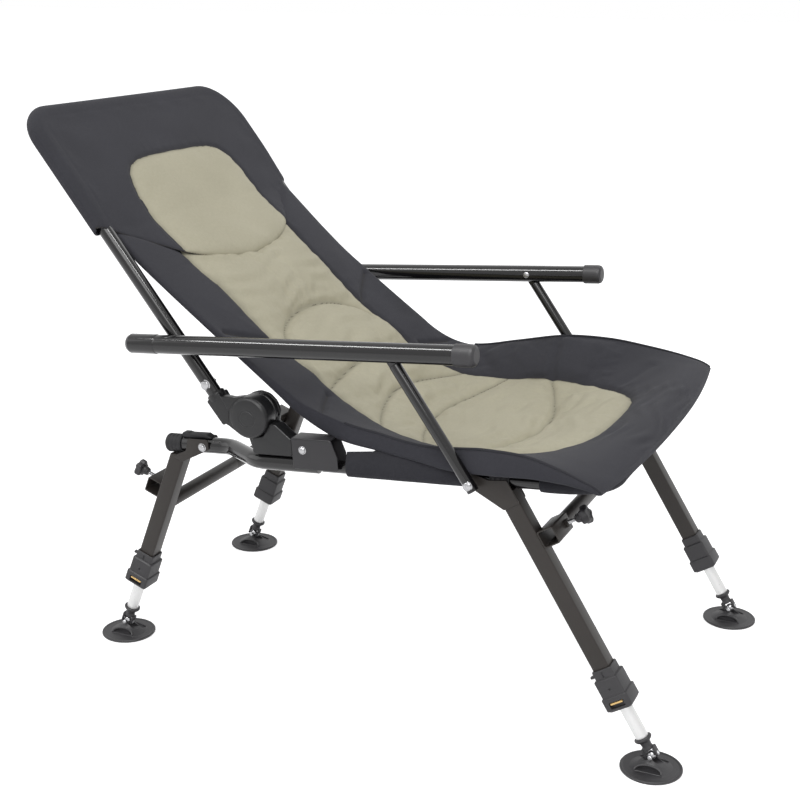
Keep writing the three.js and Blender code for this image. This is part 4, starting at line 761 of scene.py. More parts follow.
for (end, legFrame, leg), pivotX in zip(ends, (frontPivotX, rearPivotX)):
    if end == "rear":
        outerFace = -leg["y"] - legHalf - cheekSheet
        pair("rearPin", chassisFrame, boltShell([pivotX, outerFace, 0], [0, -1, 0], 5.8, 4.6, 6.8),
             brightZinc, "rear_fold")
    nut = nutShell([pivotX, legHalf + 0.4 - leg["y"], 0], [0, 1, 0])
    pair(f"{end}Nut", chassisFrame, nut, blackPlastic, f"{end}_fold")

# Folded channels that hold the seat rail: two flanges with cut noses under one top sheet.
bracket = {"rearX": -97.5, "frontX": -25.0, "noseX": -34.0, "height": 43.0, "nose": 18.0, "depth": 3.0,
           "half": 15.5, "sheet": 2.5, "boltX": -80.2, "boltLift": 26.0}
channelLow, channelHigh = -seatRail["y"] - bracket["half"], -seatRail["y"] + bracket["half"]
flange = [(bracket["rearX"], -bracket["depth"]), (bracket["frontX"], -bracket["depth"]),
          (bracket["frontX"], bracket["nose"]), (bracket["noseX"], bracket["height"]),
          (bracket["rearX"], bracket["height"])]
flangeSides = channelLow, channelHigh - bracket["sheet"]
flanges = [plate(flange, y, y + bracket["sheet"], 2.4, 1.0) for y in flangeSides]
roofLow, roofHigh = bracket["height"] - bracket["sheet"], bracket["height"] + 0.4
roof = crossPlate([(channelLow, roofLow), (channelHigh, roofLow), (channelHigh, roofHigh),
                   (channelLow, roofHigh)],
                  bracket["rearX"], bracket["noseX"] - 2.0, 1.2, 0.4)
pair("railBracket", chassisFrame, gather(*flanges, roof), graphiteSteel, "seat", "rail_bracket_{side}")
pair("bracketBolt", chassisFrame,
     boltShell([bracket["boltX"], channelLow, bracket["boltLift"]], [0, -1, 0], 5.2, 4.2, 6.2), brightZinc,
     "seat")
pair("bracketNut", chassisFrame, nutShell([bracket["boltX"], channelHigh, bracket["boltLift"]], [0, 1, 0]),
     blackPlastic, "seat")

# Ribbed clips over the seat rail at the front legs, open below.
clipRadius = seatRail["radius"] + 0.3
clipOuter = clipRadius + clip["wall"]
clipProfile = [(clipRadius, 0), (clipOuter, 0)]
for k in range(clip["ribs"]):
    clipProfile += [(clipOuter + bulge, at + clip["pitch"] * k) for bulge,
                    at in ((1.0, 4.0), (1.0, 7.4), (-0.4, 8.0))]
clipProfile += [(clipOuter, clip["length"]), (clipRadius, clip["length"])]
softClip = soften(clipProfile, 0.4, 3, closed=True)
spin = np.radians(np.linspace(-32, 212, 49))[:, None]
clipPoints = np.stack([clip["from"] + softClip[:, 1] + 0 * spin,
                       -seatRail["y"] + softClip[:, 0] * np.cos(spin),
                       softClip[:, 0] * np.sin(spin)], axis=-1)
ringSize, ringCount = len(softClip), len(spin)
clipFaces = gridFaces(ringCount, ringSize, wrapColumns=True).tolist()
clipFaces += [list(range(ringSize)), list(range((ringCount - 1) * ringSize, ringCount * ringSize))[::-1]]
pair("railClip", chassisFrame, (clipPoints.reshape(-1, 3), clipFaces), blackPlastic, "seat",
     "rail_clip_{side}")
print("leg frames made")

# Thumb screws of the accessory sockets.
knob = {"radius": 14.2, "depth": 11.0, "hub": 7.0, "hubDepth": 10.0, "screw": 3.0, "bare": 17.0, "pitch": 1.6,
        "lobes": 5}
hubFoot, headFoot = knob["bare"], knob["bare"] + knob["hubDepth"]
headTop = headFoot + knob["depth"]
knobHead = turned([(0, headFoot), (12.4, headFoot), (knob["radius"], headFoot + 1.8),
                   (knob["radius"], headTop - 2.4), (11.6, headTop), (7.6, headTop), (6.8, headTop - 1.2),
                   (0, headTop - 1.2)],
                  1.6, 90, knob["lobes"], 0.13, 4)
knobHub = turned([(0, hubFoot), (5.4, hubFoot), (6.6, hubFoot + 2.4), (6.0, hubFoot + 3.4),
                  (knob["hub"], hubFoot + 4.6), (knob["hub"], headFoot + 2), (0, headFoot + 2)], 0.5, 36)
# Thread: the radius swings with a sine of the height over the pitch.
threadHeight = np.linspace(-6.0, knob["bare"] + 1, 100)
threadRadius = knob["screw"] - 0.25 + 0.25 * np.sin(threadHeight / knob["pitch"] * 2 * np.pi)
threadRadius[[0, -1]] = 0
threadTurn = np.arange(20) / 20 * 2 * np.pi
threadPoints = np.stack([threadRadius[:, None] * np.cos(threadTurn),
                         threadRadius[:, None] * np.sin(threadTurn),
                         threadHeight[:, None] + 0 * threadTurn], axis=-1)
thread = threadPoints.reshape(-1, 3), gridFaces(len(threadHeight), 20, wrapColumns=True)
for end, legFrame, leg in ends:
    side = leg["socketSide"]
    seat = [side * (legHalf + socketSize), -leg["knobY"], leg["socketAt"]]
    pair(f"{end}Knob", legFrame, along(gather(knobHead, knobHub), seat, [side, 0, 0], 0.3), blackPlastic,
         f"{end}_knob_{{side}}", f"{end}_knob_{{side}}")
    pair(f"{end}Screw", legFrame, along(thread, seat, [side, 0, 0]), brightZinc, f"{end}_knob_{{side}}")

# Telescopic legs. The lock housing: a stepped square sleeve with a slot, a notch, a dimple and a release lug.
lock = {"foot": 80.0, "band": 21.5, "length": 48.0, "neck": 13.0, "lower": 20.0, "upper": 18.0,
        "neckHalf": 14.9, "bore": 10.2, "slotAt": 9.0, "slotHeight": 5.6, "slotHalf": 11.3}
lockFoot, lower, upper, bore, neckHalf = (lock[key] for key in ("foot", "lower", "upper", "bore", "neckHalf"))
lockTop, lockStep, slotFoot = (lockFoot + lock[key] for key in ("length", "band", "slotAt"))
neckTop = lockTop + lock["neck"]
lockProfile = [(bore, lockFoot + 1), (bore + 1, lockFoot), (lower - 3.4, lockFoot), (lower, lockFoot + 3.2),
               (lower, lockStep - 1), (lower - 1.1, lockStep), (upper, lockStep + 0.3),
               (upper, lockTop - 1.4), (upper - 1.6, lockTop), (neckHalf + 0.2, lockTop + 0.2),
               (neckHalf + 0.2, neckTop - 1), (neckHalf - 0.4, neckTop), (legHalf + 0.3, neckTop),
               (legHalf + 0.3, lockFoot + 24), (bore, lockFoot + 22)]
lockBody = squareTurned(lockProfile, 3.2, 0.8, closed=True)
slotBox = softBox([-lock["slotHalf"], -lower - 3, slotFoot - 4.0],
                  [lock["slotHalf"], -lower + 6, slotFoot + lock["slotHeight"]], 1.2, 0.2)
neckNotch = softBox([-1.5, -neckHalf - 2, lockTop + 1.5], [1.8, -neckHalf + 1.1, neckTop - 3], 0.6, 0.1)
dimple = along(turned([(0, 0), (1.7, 0), (1.7, 3), (0, 3)], 0.2, 20), [0, -upper + 1.4, lockStep + 11],
               [0, -1, 0])
lug = softBox([-neckHalf - 5.5, -neckHalf + 1, lockTop + 4], [-neckHalf + 1, -neckHalf + 6, lockTop + 8], 1.4,
              0.8)
brassStrip = softBox([-9.5, -lower + 0.1, slotFoot + 1.6], [9.5, -lower + 5.6, slotFoot + 4.2], 0.8, 0.4)

# The inner tube, its plug with two prongs, and the knuckle: a ball on two crossed pins.
inner = {"foot": 28.3, "radius": 9.5, "bore": 8.0, "length": 210, "plugged": 200}
tubeFoot = inner["foot"]
legTube = turned([(0, tubeFoot), (inner["radius"], tubeFoot), (inner["radius"], tubeFoot + inner["length"]),
                  (inner["bore"], tubeFoot + inner["length"]), (inner["bore"], tubeFoot + inner["plugged"]),
                  (0, tubeFoot + inner["plugged"])], 0.3, 44)
plugBell = turned([(0, 9.2), (7.4, 9.2), (8.2, 10.6), (7.0, 15.0), (7.6, 20.5), (11.4, 23.6), (12.7, 25.4),
                   (12.7, 27.2), (12.0, 28.2), (9.6, 28.2), (0, 28.2)], 0.9, 44)
prongOutline = [(-5.5, 12), (5.5, 12), (5.5, -2.5), (3.0, -4), (-3.0, -4), (-5.5, -2.5)]
prongs = [crossPlate(prongOutline, x, x + 3.0, 2.0, 0.6) for x in (-10.0, 7.0)]
ballTurn = np.linspace(-0.5 * np.pi, 0.5 * np.pi, 17)
knuckle = [turned([(6.3 * math.cos(a), 6.3 * math.sin(a)) for a in ballTurn], 0.01, 32, steps=1)]
for reach, axis in ((10.6, np.array([1, 0, 0])), (12.4, np.array([0, 1, 0]))):
    pin = turned([(0, 0), (2.6, 0), (3.5, 1.0), (2.4, 1.5), (2.4, reach), (0, reach)], 0.3, 24)
    knuckle += [along(pin, sign * reach * axis, -sign * axis) for sign in (-1, 1)]

# Mud foot: a thin plate with a raised lip, and a hollow-sided cone cut flat on both sides into two ears.
# Cone: the radius falls from base to neck as (1 - t)^2 while the height rises with t.
mud = {"radius": 43.5, "crown": 9.8, "earGap": 7.2, "earFace": 11.2, "base": 31.0, "neck": 6.4, "arch": 19.0,
       "flare": 10.0, "foot": 3.2}
mudPlate = turned([(0, 0), (42.6, 0), (mud["radius"], 1.0), (mud["radius"], 3.0), (42.6, 4.1), (41.0, 4.0),
                   (39.0, 3.3), (34, 3.5), (0, 4.4)], 0.5, 96)
coneProfile = [(0, 3.0)] + [(mud["neck"] + (mud["base"] - mud["neck"]) * (1 - t) ** 2,
                             mud["foot"] + (ankleZ - mud["foot"]) * t) for t in np.linspace(0, 1, 15)]
coneProfile += [(mud["neck"] * math.cos(a), ankleZ + mud["neck"] * math.sin(a))
                for a in np.linspace(0, 0.5 * np.pi, 8)[1:]]
cone = turned(coneProfile, 0.01, 96, steps=1)


# Half depth of the ears at height z: the face flares out towards the plate by flare * ((16 - z) / 13)^1.5.
def earDepth(z):
    return mud["earFace"] + mud["flare"] * np.clip((16 - z) / 13, 0, 1) ** 1.5


x, y, z = cone[0].T
cone = np.stack([x, np.clip(y, -earDepth(z), earDepth(z)), z], axis=-1), cone[1]
earSlot = softBox([-44, -mud["earGap"], mud["crown"]], [44, mud["earGap"], 40], 0.4, 0.2)
archOutline = [(mud["arch"] * math.cos(a), 4.3 + 7.2 * math.sin(a)) for a in np.radians(np.linspace(0, 180,
                                                                                                    17))]
archCuts = [plate(archOutline, y, y + 14.0, 0.1, 0.1) for y in (-mud["earFace"] - 15.2, mud["earFace"] + 1.2)]
# A rounded lip runs along each arch on the flared face.
archLip = sweep(np.array([[x, -float(earDepth(z)), z] for x, z in archOutline]), 1.6, 12, lip=0.5)
footPlate = gather(mudPlate, archLip, mirrored(archLip))


# Cuts the same shells out of the right-hand piece and, mirrored, out of the left-hand one.
def carvePair(pieces, shells):
    carve(pieces[0], *shells)
    carve(pieces[1], *(mirrored(shell) for shell in shells))


for end, legFrame, leg in ends:
    def here(shell):
        return placed(legFrame, shifted(shell, 0, -leg["y"], 0))

    housing = pair(f"{end}Lock", None, here(lockBody), blackPlastic, f"{end}_fold",
                   f"lock_collar_{end}_{{side}}")
    carvePair(housing, [here(slotBox), here(neckNotch), here(dimple)])
    pair(f"{end}Lug", None, here(lug), blackPlastic, f"{end}_fold")
    for name, shell, material, body, node in (
            ("LockPlate", brassStrip, warmBrass, "lock", "lock_plate"),
            ("InnerLeg", legTube, paleAlloy, "slide", "inner_leg"),
            ("Plug", gather(plugBell, *prongs), blackPlastic, "slide", "leg_plug"),
            ("Knuckle", gather(*knuckle), brightZinc, "knuckle", "foot_knuckle")):
        pair(end + name, None, here(shell), material, f"{body}_{end}_{{side}}", f"{node}_{end}_{{side}}")
    spot = leg["reach"] * leg["socketSide"], -leg["y"], 0
    feet = pair(f"{end}Foot", None, shifted(cone, *spot), blackPlastic, f"foot_{end}_{{side}}",
                f"foot_pad_{end}_{{side}}")
    carvePair(feet, [shifted(shell, *spot) for shell in (earSlot, *archCuts)])
    pair(f"{end}FootPlate", None, shifted(footPlate, *spot), blackPlastic, f"foot_{end}_{{side}}")
print("legs and feet made")


# The padded cover, seat and back in one piece. Its plan runs along the middle line: q is 0 at the waist,
# minus up the back and plus along the seat; v is the height up the back from the hub.
waistX, waistV = -64.0, -68.0
pad = {"hollow": 13.0, "hollowRun": 320.0, "sag": 6.5, "waistHollow": 24.0, "topV": 356.0, "hangTopV": 341.0,
       "columns": 104, "wallRows": 4, "wallBow": 2.0, "cell": 6.0, "pressure": 4.0, "slack": -0.02,
       "cap": 8.0, "groove": 4.4, "grooveWidth": 4.6, "tuck": 5.0, "puff": 5.0, "puffReach": 30.0,
       "noSeam": 60.0, "noPatch": -40.0, "ripple": 1.6}


# Smooth curve through listed pairs: cubic pieces whose slope at each pair is the mean slope beside it.
def readCurve(table, x):
    t = np.asarray(table, float)
    k = np.clip(np.searchsorted(t[:, 0], x) - 1, 0, len(t) - 2)
    step = np.diff(t[:, 1]) / np.diff(t[:, 0])
    slope = np.concatenate([step[:1], 0.5 * (step[:-1] + step[1:]), step[-1:]])
    h = t[k + 1, 0] - t[k, 0]
    u = np.clip((x - t[k, 0]) / h, 0, 1)
    return ((2 * u**3 - 3 * u**2 + 1) * t[k, 1] + (u**3 - 2 * u**2 + u) * h * slope[k]
            + (3 * u**2 - 2 * u**3) * t[k + 1, 1] + (u**3 - u**2) * h * slope[k + 1])


def ease(x):
    x = np.clip(x, 0, 1)
    return x * x * (3 - 2 * x)


# Bell curve exp(-(gap / width)^2).
def bell(gap, width):
    return np.exp(-((gap / width) ** 2))


# The pad hangs from the head of the back tube to the waist: a straight line less sag * 4 s (1 - s).
waistN = backFrame.local(waistX, 426.0)[0]


def hangLine(v):
    s = np.clip((v - waistV) / (pad["hangTopV"] - waistV), 0, 1)
    return waistN + (-back["offset"] - waistN) * s - pad["sag"] * 4 * s * (1 - s)


def backPoint(v, lift, hollow=0.0):
    share = np.clip((v - waistV) / pad["hollowRun"], 0, 1)
    lumbar = pad["hollow"] * np.sin(np.pi * np.minimum(share * 1.15, 1)) ** 2
    belly = hollow * (lumbar + pad["waistHollow"] * (1 - ease(share * 4.5)))
    return backFrame.point(hangLine(v) - belly + lift, v)


# Lines of the pad's top: near edge, middle and far edge as (q, x, z), the back from its hang line.
hangStops = [pad["topV"], 300.0, 240.0, 180.0, 130.0, 85.0, 40.0, 5.0, -25.0]
nearSeat = [(34, -30, 437), (99, 35, 430), (163, 99, 425), (197, 133, 427), (221, 157, 431), (284, 220, 443),
            (333, 269, 445), (384, 317, 439), (420, 346, 432), (450, 364, 426), (475, 374, 420),
            (497, 379, 416)]
farSeat = [(34, -30, 432), (115, 51, 445), (184, 120, 459), (211, 147, 462), (252, 188, 461), (290, 226, 456),
           (336, 272, 448), (384, 315, 438), (420, 344, 430), (450, 360, 425), (475, 369, 421),
           (497, 374, 417)]
middleSeat = [(64, 0, 396), (124, 60, 383), (189, 125, 381), (254, 190, 386), (304, 240, 396),
              (349, 285, 411), (399, 333, 428), (430, 360, 434), (455, 378, 428), (480, 390, 418),
              (497, 393, 408)]


def lineOf(seatTable, lift, hollow):
    return np.array([(waistV - v, *backPoint(v, lift, hollow)) for v in hangStops] + seatTable)


nearLine, farLine, middleLine = lineOf(nearSeat, 6.0, 0.0), lineOf(farSeat, 6.0, 0.0), lineOf(middleSeat,
                                                                                              14.0, 1.0)
farRise = 8.0 * ease((waistV - farLine[:, 0] - 190) / 110) * (farLine[:, 0] < -200)
farLine[:, 1:] += farRise[:, None] * [backFrame.c, -backFrame.s]
frontQ = float(middleLine[-1, 0])
halfWidth = [(-420, 253), (-60, 252), (-20, 250), (33, 256), (64, 260), (99, 263), (124, 267), (163, 271),
             (197, 275), (221, 279), (254, 288.5), (284, 300), (333, 310), (384, 323), (432, 331), (452, 331),
             (470, 330.5), (490, 330)]
wallHeight = [(-420, 12), (-60, 15), (0, 24), (33, 27), (99, 25), (163, 24), (197, 30), (224, 34), (284, 35),
              (333, 30), (384, 20), (432, 11), (490, 5)]
middleThick = [(-420, 20), (-300, 24), (0, 26), (100, 28), (250, 30), (380, 27), (430, 19), (460, 12),
               (490, 5)]
crossPower = [(-420, 2.0), (-150, 2.0), (0, 2.3), (200, 2.5), (380, 2.8), (490, 2.4)]


# Point on the pad's top at (q, y): mix of middle and edge lines by |t| ** power, with t = y / half width.
def coverTop(q, y):
    t = np.clip(y / readCurve(halfWidth, q), -1, 1)
    rise = np.abs(t) ** readCurve(crossPower, q)
    out = []
    for axis in (1, 2):
        middle, near, far = (readCurve(line[:, [0, axis]], q) for line in (middleLine, nearLine, farLine))
        out.append(middle + (np.where(t < 0, near, far) - middle) * rise)
    return np.stack([out[0], y, out[1]], axis=-1)


# Upward normal of the pad's top from small steps along and across it.
def coverNormal(q, y, step=3.0):
    lengthwise = coverTop(q + step, y) - coverTop(q - step, y)
    crosswise = coverTop(q, y + step) - coverTop(q, y - step)
    normal = np.cross(lengthwise, crosswise)
    return normal / np.maximum(np.linalg.norm(normal, axis=-1), 1e-9)[..., None]


# How far a plan place lies under the hood, 0 to 1: an ease over the last stretch below the hood's foot.
hoodSeam = [(0, 230), (80, 240), (120, 252), (160, 270), (190, 292), (217, 312), (250, 334), (284, 356)]


def hoodFoot(y):
    return readCurve(hoodSeam, np.abs(y))


def underHood(q, y):
    return ease((waistV - q - hoodFoot(y) - 1) / 12)


# Seams in the plan, as (q, y) lines in millimetres; a line on one side is turned over for the other.
def bothSides(line):
    line = np.asarray(line, float)
    return [line, line * [1, -1]]


def outlineOf(halfOutline, rounding):
    rightSide = soften(halfOutline, rounding, 6)
    return np.concatenate([rightSide, (rightSide * [1, -1])[::-1][1:]])


acrossShare = np.linspace(-1, 1, 33)
archRise = 38 * np.abs(acrossShare) ** 2.2 + 22 * np.abs(acrossShare) ** 8
softSeams = [np.stack([archRise - 180, 139 * acrossShare], axis=-1)]
softSeams += [np.stack([middle + rise * acrossShare**2, reach * acrossShare], axis=-1)
              for middle, rise, reach in ((-56, 16, 150), (12, 46, 163), (84, 48, 176), (254, -46, 178))]
softSeams += bothSides([(-194, 240), (-164, 179), (-144, 150)]) + bothSides([(-34, 173), (-22, 206),
                                                                             (-7, 241)])
halfPatch = [(-430, 160), (-300, 158), (-270, 152), (-43, 150), (30, 157), (64, 164), (97, 172), (144, 177),
             (169, 182), (234, 185), (280, 184), (314, 171), (336, 151), (354, 124), (364, 96), (368, 60),
             (369, 0)]
patchOutline = outlineOf(halfPatch, 26.0)
faintSeams = bothSides([(-143, 138), (-98, 103), (-58, 62)])
# Creases of the far border as (line, depth, width).
farCreases = [([(208, 178), (198, 215), (193, 262)], 2.6, 6.0),
              ([(262, 186), (270, 215), (262, 252)], 1.4, 8.0),
              ([(318, 172), (338, 204), (356, 250)], 1.5, 9.0),
              ([(132, 178), (120, 210), (116, 240)], 1.6, 8.0)]


# Distance from each plan place to a line and the run along it, by the nearest point of each straight bit.
def lineDistance(q, y, line):
    best, run, travelled = np.full(q.shape, 1e6), np.zeros(q.shape), 0.0
    for a, b in zip(line[:-1], line[1:]):
        d = b - a
        length = float(np.hypot(*d))
        s = np.clip(((q - a[0]) * d[0] + (y - a[1]) * d[1]) / max(length**2, 1e-9), 0, 1)
        gap = np.hypot(q - a[0] - s * d[0], y - a[1] - s * d[1])
        closer = gap < best
        best, run = np.where(closer, gap, best), np.where(closer, travelled + s * length, run)
        travelled += length
    return best, run


# Tells inside from outside by the patch's half width at q.
def insideOutline(q, y, table):
    t = np.asarray(table, float)
    return np.abs(y) < np.interp(q, t[:, 0], t[:, 1], left=t[0, 1], right=-1.0)


# Waves that pucker the cloth beside a seam: two sines along the run, fading with distance.
def puckers(run, distance, reach, seed):
    wave = np.sin(run / 5.1 + 1.7 * np.sin(run / 31 + seed))
    wave += 0.7 * np.sin(run / 3.3 + 2.1 * np.sin(run / 23 + 2 * seed) + seed)
    return wave * np.exp(-distance / reach) * (1 - bell(distance, 3.0))


cloth = {"frames": 20, "tension": 18.0, "bending": 0.6, "mass": 0.3, "quality": 5}


# Runs the cloth: held points stay, the rest fills with air; moves are capped and change the mesh itself.
def inflate(piece, hold, pressure, slack, cap):
    group = piece.vertex_groups.new(name="hold")
    group.add([int(k) for k in np.flatnonzero(hold)], 1.0, "REPLACE")
    air = piece.modifiers.new("air", "CLOTH")
    settings = air.settings
    settings.vertex_group_mass = "hold"
    settings.use_pressure = True
    settings.uniform_pressure_force = pressure
    settings.shrink_min = slack
    settings.tension_stiffness = settings.compression_stiffness = cloth["tension"]
    settings.bending_stiffness = cloth["bending"]
    settings.mass, settings.quality = cloth["mass"], cloth["quality"]
    settings.effector_weights.gravity = 0
    air.point_cache.frame_start, air.point_cache.frame_end = 1, cloth["frames"]
    air.collision_settings.use_collision = False
    for frameNumber in range(1, cloth["frames"] + 1):
        bpy.context.scene.frame_set(frameNumber)
    evaluated = piece.evaluated_get(bpy.context.evaluated_depsgraph_get())
    before = readPoints(piece.data)
    move = readPoints(evaluated.data) - before
    size = np.linalg.norm(move, axis=1)
    limit = cap * millimetre
    move *= (np.tanh(size / limit) * limit / np.maximum(size, 1e-9))[:, None]
    piece.modifiers.remove(air)
    piece.vertex_groups.remove(group)
    bpy.context.scene.frame_set(1)
    print(piece.name, "largest move", round(float(size.max()) / millimetre, 1), "mm")
    piece.data.vertices.foreach_set("co", (before + move).ravel())
    piece.data.update()


# One smooth subdivision, applied.
def subdivide(piece):
    fine = piece.modifiers.new("fine", "SUBSURF")
    fine.levels = fine.render_levels = 1
    mesh = bpy.data.meshes.new_from_object(piece.evaluated_get(bpy.context.evaluated_depsgraph_get()))
    piece.modifiers.remove(fine)
    old = piece.data
    piece.data = mesh
    bpy.data.meshes.remove(old)
    mesh.name = piece.name


def writeAttribute(mesh, name, values):
    layer = mesh.attributes.get(name) or mesh.attributes.new(name, "FLOAT", "POINT")
    layer.data.foreach_set("value", np.ascontiguousarray(values, np.float32).ravel())


def readPoints(mesh):
    points = np.empty(len(mesh.vertices) * 3)
    mesh.vertices.foreach_get("co", points)
    return points.reshape(-1, 3)


# Writes the plan as a UV map in metres.
def writePlan(mesh, u, v):
    loops = np.empty(len(mesh.loops), np.int32)
    mesh.loops.foreach_get("vertex_index", loops)
    layer = mesh.uv_layers.new(name="plan")
    layer.data.foreach_set("uv", np.stack([u[loops], v[loops]], axis=-1).astype(np.float32).ravel()
                           * millimetre)


# Makes a padded shell from a grid whose points know their plan place and whether they are on the top side.
def paddedShell(name, grid, q, y, top, **wrap):
    piece = makePiece(name, grid.reshape(-1, 3), gridFaces(*grid.shape[:2], **wrap), coverCloth, 180, weld=0)
    for layer, values in (("planQ", q), ("planY", y), ("topSide", top)):
        writeAttribute(piece.data, layer, np.broadcast_to(values, grid.shape[:2]))
    weldMesh(piece.data)
    return piece


def readPlan(mesh):
    out = []
    for name in ("planQ", "planY", "topSide"):
        out.append(np.empty(len(mesh.vertices)))
        mesh.attributes[name].data.foreach_get("value", out[-1])
    return out


# Lifts a padded piece's points along their normals and writes what its cloth shows at patch and seams.
def finishPadded(piece, lift, top, inset, seamGap, seamRun, u, v):
    mesh = piece.data
    normals = np.empty(len(mesh.vertices) * 3)
    mesh.vertex_normals.foreach_get("vector", normals)
    points = readPoints(mesh) + normals.reshape(-1, 3) * (lift * top)[:, None] * millimetre
    mesh.vertices.foreach_set("co", points.ravel())
    writeAttribute(mesh, "patchInset", np.where(top > 0.5, inset, pad["noPatch"]) * millimetre)
    writeAttribute(mesh, "seamDistance", np.where(top > 0.5, seamGap, pad["noSeam"]) * millimetre)
    writeAttribute(mesh, "seamRun", seamRun * millimetre)
    writePlan(mesh, u(points), v)
    mesh.update()
    print(piece.name, "made:", len(mesh.vertices), "points")


rowCount = int((frontQ + pad["topV"] - waistV) / pad["cell"])
rowQ = np.linspace(waistV - pad["topV"], frontQ, rowCount)
endFade = np.minimum(ease((np.arange(rowCount) + 1.0) / 3.0), ease((rowCount - np.arange(rowCount)) / 3.0))
gridQ, gridT = np.meshgrid(rowQ, np.linspace(-1, 1, pad["columns"]), indexing="ij")
gridY = gridT * readCurve(halfWidth, gridQ)
upward = coverNormal(gridQ, gridY * 0.985)
tucked = underHood(gridQ, gridY)
topSkin = coverTop(gridQ, gridY) - upward * (pad["tuck"] * tucked)[..., None]
wall = readCurve(wallHeight, gridQ)
thick = wall + (readCurve(middleThick, gridQ) - wall) * (1 - np.abs(gridT) ** 6)
thick = (thick - 4.0 * tucked) * endFade[:, None]
down = -upward * [1, 0.25, 1]
down /= np.linalg.norm(down, axis=-1)[..., None]
underSkin = topSkin + down * thick[..., None]
wallShare = (np.arange(pad["wallRows"]) + 1) / (pad["wallRows"] + 1)


# Side wall between the top and under edges, bowed outwards by bow * sin(pi s).
def wallStrip(fromEdge, toEdge, outward):
    mix = fromEdge[:, None, :] + (toEdge - fromEdge)[:, None, :] * wallShare[None, :, None]
    mix[..., 1] += outward * pad["wallBow"] * np.sin(np.pi * wallShare)[None, :] * endFade[:, None]
    return mix


# Caps: one more row at each end, halfway between the top and under skins, so that the weld closes it.
def closingRow(row):
    n, w = pad["columns"], pad["wallRows"]
    middle = 0.5 * (row[:n] + row[n + w:2 * n + w][::-1])
    return np.concatenate([middle, np.repeat(middle[-1:], w, 0), middle[::-1], np.repeat(middle[:1], w, 0)])


loop = np.concatenate([topSkin, wallStrip(topSkin[:, -1], underSkin[:, -1], 1.0), underSkin[:, ::-1],
                       wallStrip(underSkin[:, 0], topSkin[:, 0], -1.0)], axis=1)
loop = np.concatenate([[closingRow(loop[0])], loop, [closingRow(loop[-1])]])
loopY = np.concatenate([gridY, np.repeat(gridY[:, -1:], pad["wallRows"], 1), gridY[:, ::-1],
                        np.repeat(gridY[:, :1], pad["wallRows"], 1)], axis=1)
loopQ, loopY = (np.concatenate([a[:1], a, a[-1:]]) for a in (rowQ[:, None], loopY))
isTop = np.arange(loop.shape[1]) < pad["columns"]
cover = paddedShell("cover", loop, loopQ, loopY, isTop, wrapColumns=True)
print("cover grid", rowCount, "by", loop.shape[1])

# The cloth is held at its seams, edges and underside, and over the borders outside the patch.
planQ, planY, topSide = readPlan(cover.data)
seamGap = np.min([lineDistance(planQ, planY, line)[0] for line in softSeams + [patchOutline]], axis=0)
edgeGap = readCurve(halfWidth, planQ) - np.abs(planY)
stiff = ~insideOutline(planQ, planY, halfPatch) & ((planY < 0) | (planQ > 300) | (planQ < 20))
held = ((seamGap < 5) | stiff | (underHood(planQ, planY) > 0.02) | (edgeGap < 7) | (topSide < 0.5)
        | (planQ > frontQ - 12) | (planQ < waistV - pad["topV"] + 40))
inflate(cover, held, pad["pressure"], pad["slack"], pad["cap"])
subdivide(cover)

# Grooves at the seams, a soft puff between them and puckers beside them, along the surface normal.
planQ, planY, topSide = readPlan(cover.data)
seamGap, seamRun, lift = np.full(planQ.shape, 1e3), np.zeros(planQ.shape), np.zeros(planQ.shape)
for k, line in enumerate(softSeams + [patchOutline]):
    gap, run = lineDistance(planQ, planY, line)
    lift += 0.34 * puckers(run, gap, 13.0, k * 1.3)
    seamRun, seamGap = np.where(gap < seamGap, run, seamRun), np.minimum(seamGap, gap)
patchGap = gap
for line in faintSeams:
    lift -= 1.4 * bell(lineDistance(planQ, planY, line)[0], 9.0)
# Broad folds of the far border, each a hollow with a ridge beside it:
# depth * (exp(-(d / w)^2) - 0.6 exp(-((d - 2 w) / 1.4 w)^2)).
for line, depth, width in farCreases:
    gap = lineDistance(planQ, planY, np.array(line, float))[0]
    fade = ease((np.abs(planY) - 172) / 14) * (planY > 0)
    lift -= depth * fade * (bell(gap, width) - 0.6 * bell(gap - 2 * width, 1.4 * width))
edgeGap = np.maximum(readCurve(halfWidth, planQ) - np.abs(planY), 0)
lift -= pad["groove"] * bell(seamGap, pad["grooveWidth"])
lift += pad["puff"] * (0.5 - np.exp(-seamGap / pad["puffReach"])) * (1 - np.exp(-edgeGap / 22))
# Long soft creases that fan over the seat and the lumbar panel.
ripple = np.sin(planQ / 6.8 + 2.2 * np.sin(planY / 43) + 1.1 * np.sin(planQ / 37))
ripple += 0.7 * np.sin(planQ / 4.1 + 2.6 * np.sin(planY / 29 + 1) + planY / 60)
patchiness = 0.35 + 0.65 * np.sin(planY / 38 + planQ / 55) ** 2
lift += pad["ripple"] * ripple * patchiness * np.exp(-((planY / 160) ** 6)) * ease((seamGap - 3) / 14)
fan = np.sin(np.arctan2(planY, -150 - planQ) * 19 + planQ / 40)
lift += 0.7 * fan * bell(planQ + 215, 34) * np.exp(-((planY / 120) ** 4))
lift += 0.3 * np.sin(planY / 13.0 + 1.9 * np.sin(planQ / 29)) * bell(edgeGap - 38, 30) * (planQ > -260)
lift *= ease(edgeGap / 9.0) * (1 - underHood(planQ, planY)) * (1 - ease((planQ - frontQ + 26) / 20))
inset = np.where(insideOutline(planQ, planY, halfPatch), patchGap, -patchGap)


# Cloth runs on down the side walls: the plan's y grows by the drop below the top.
def acrossPlan(points):
    drop = np.maximum(coverTop(planQ, planY)[:, 2] - points[:, 2] / millimetre, 0)
    return planY + np.sign(planY) * np.where(topSide > 0.5, 0, drop)


finishPadded(cover, lift, topSide, inset, seamGap, seamRun, acrossPlan, planQ)
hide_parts("seat_pad", "back_pad")

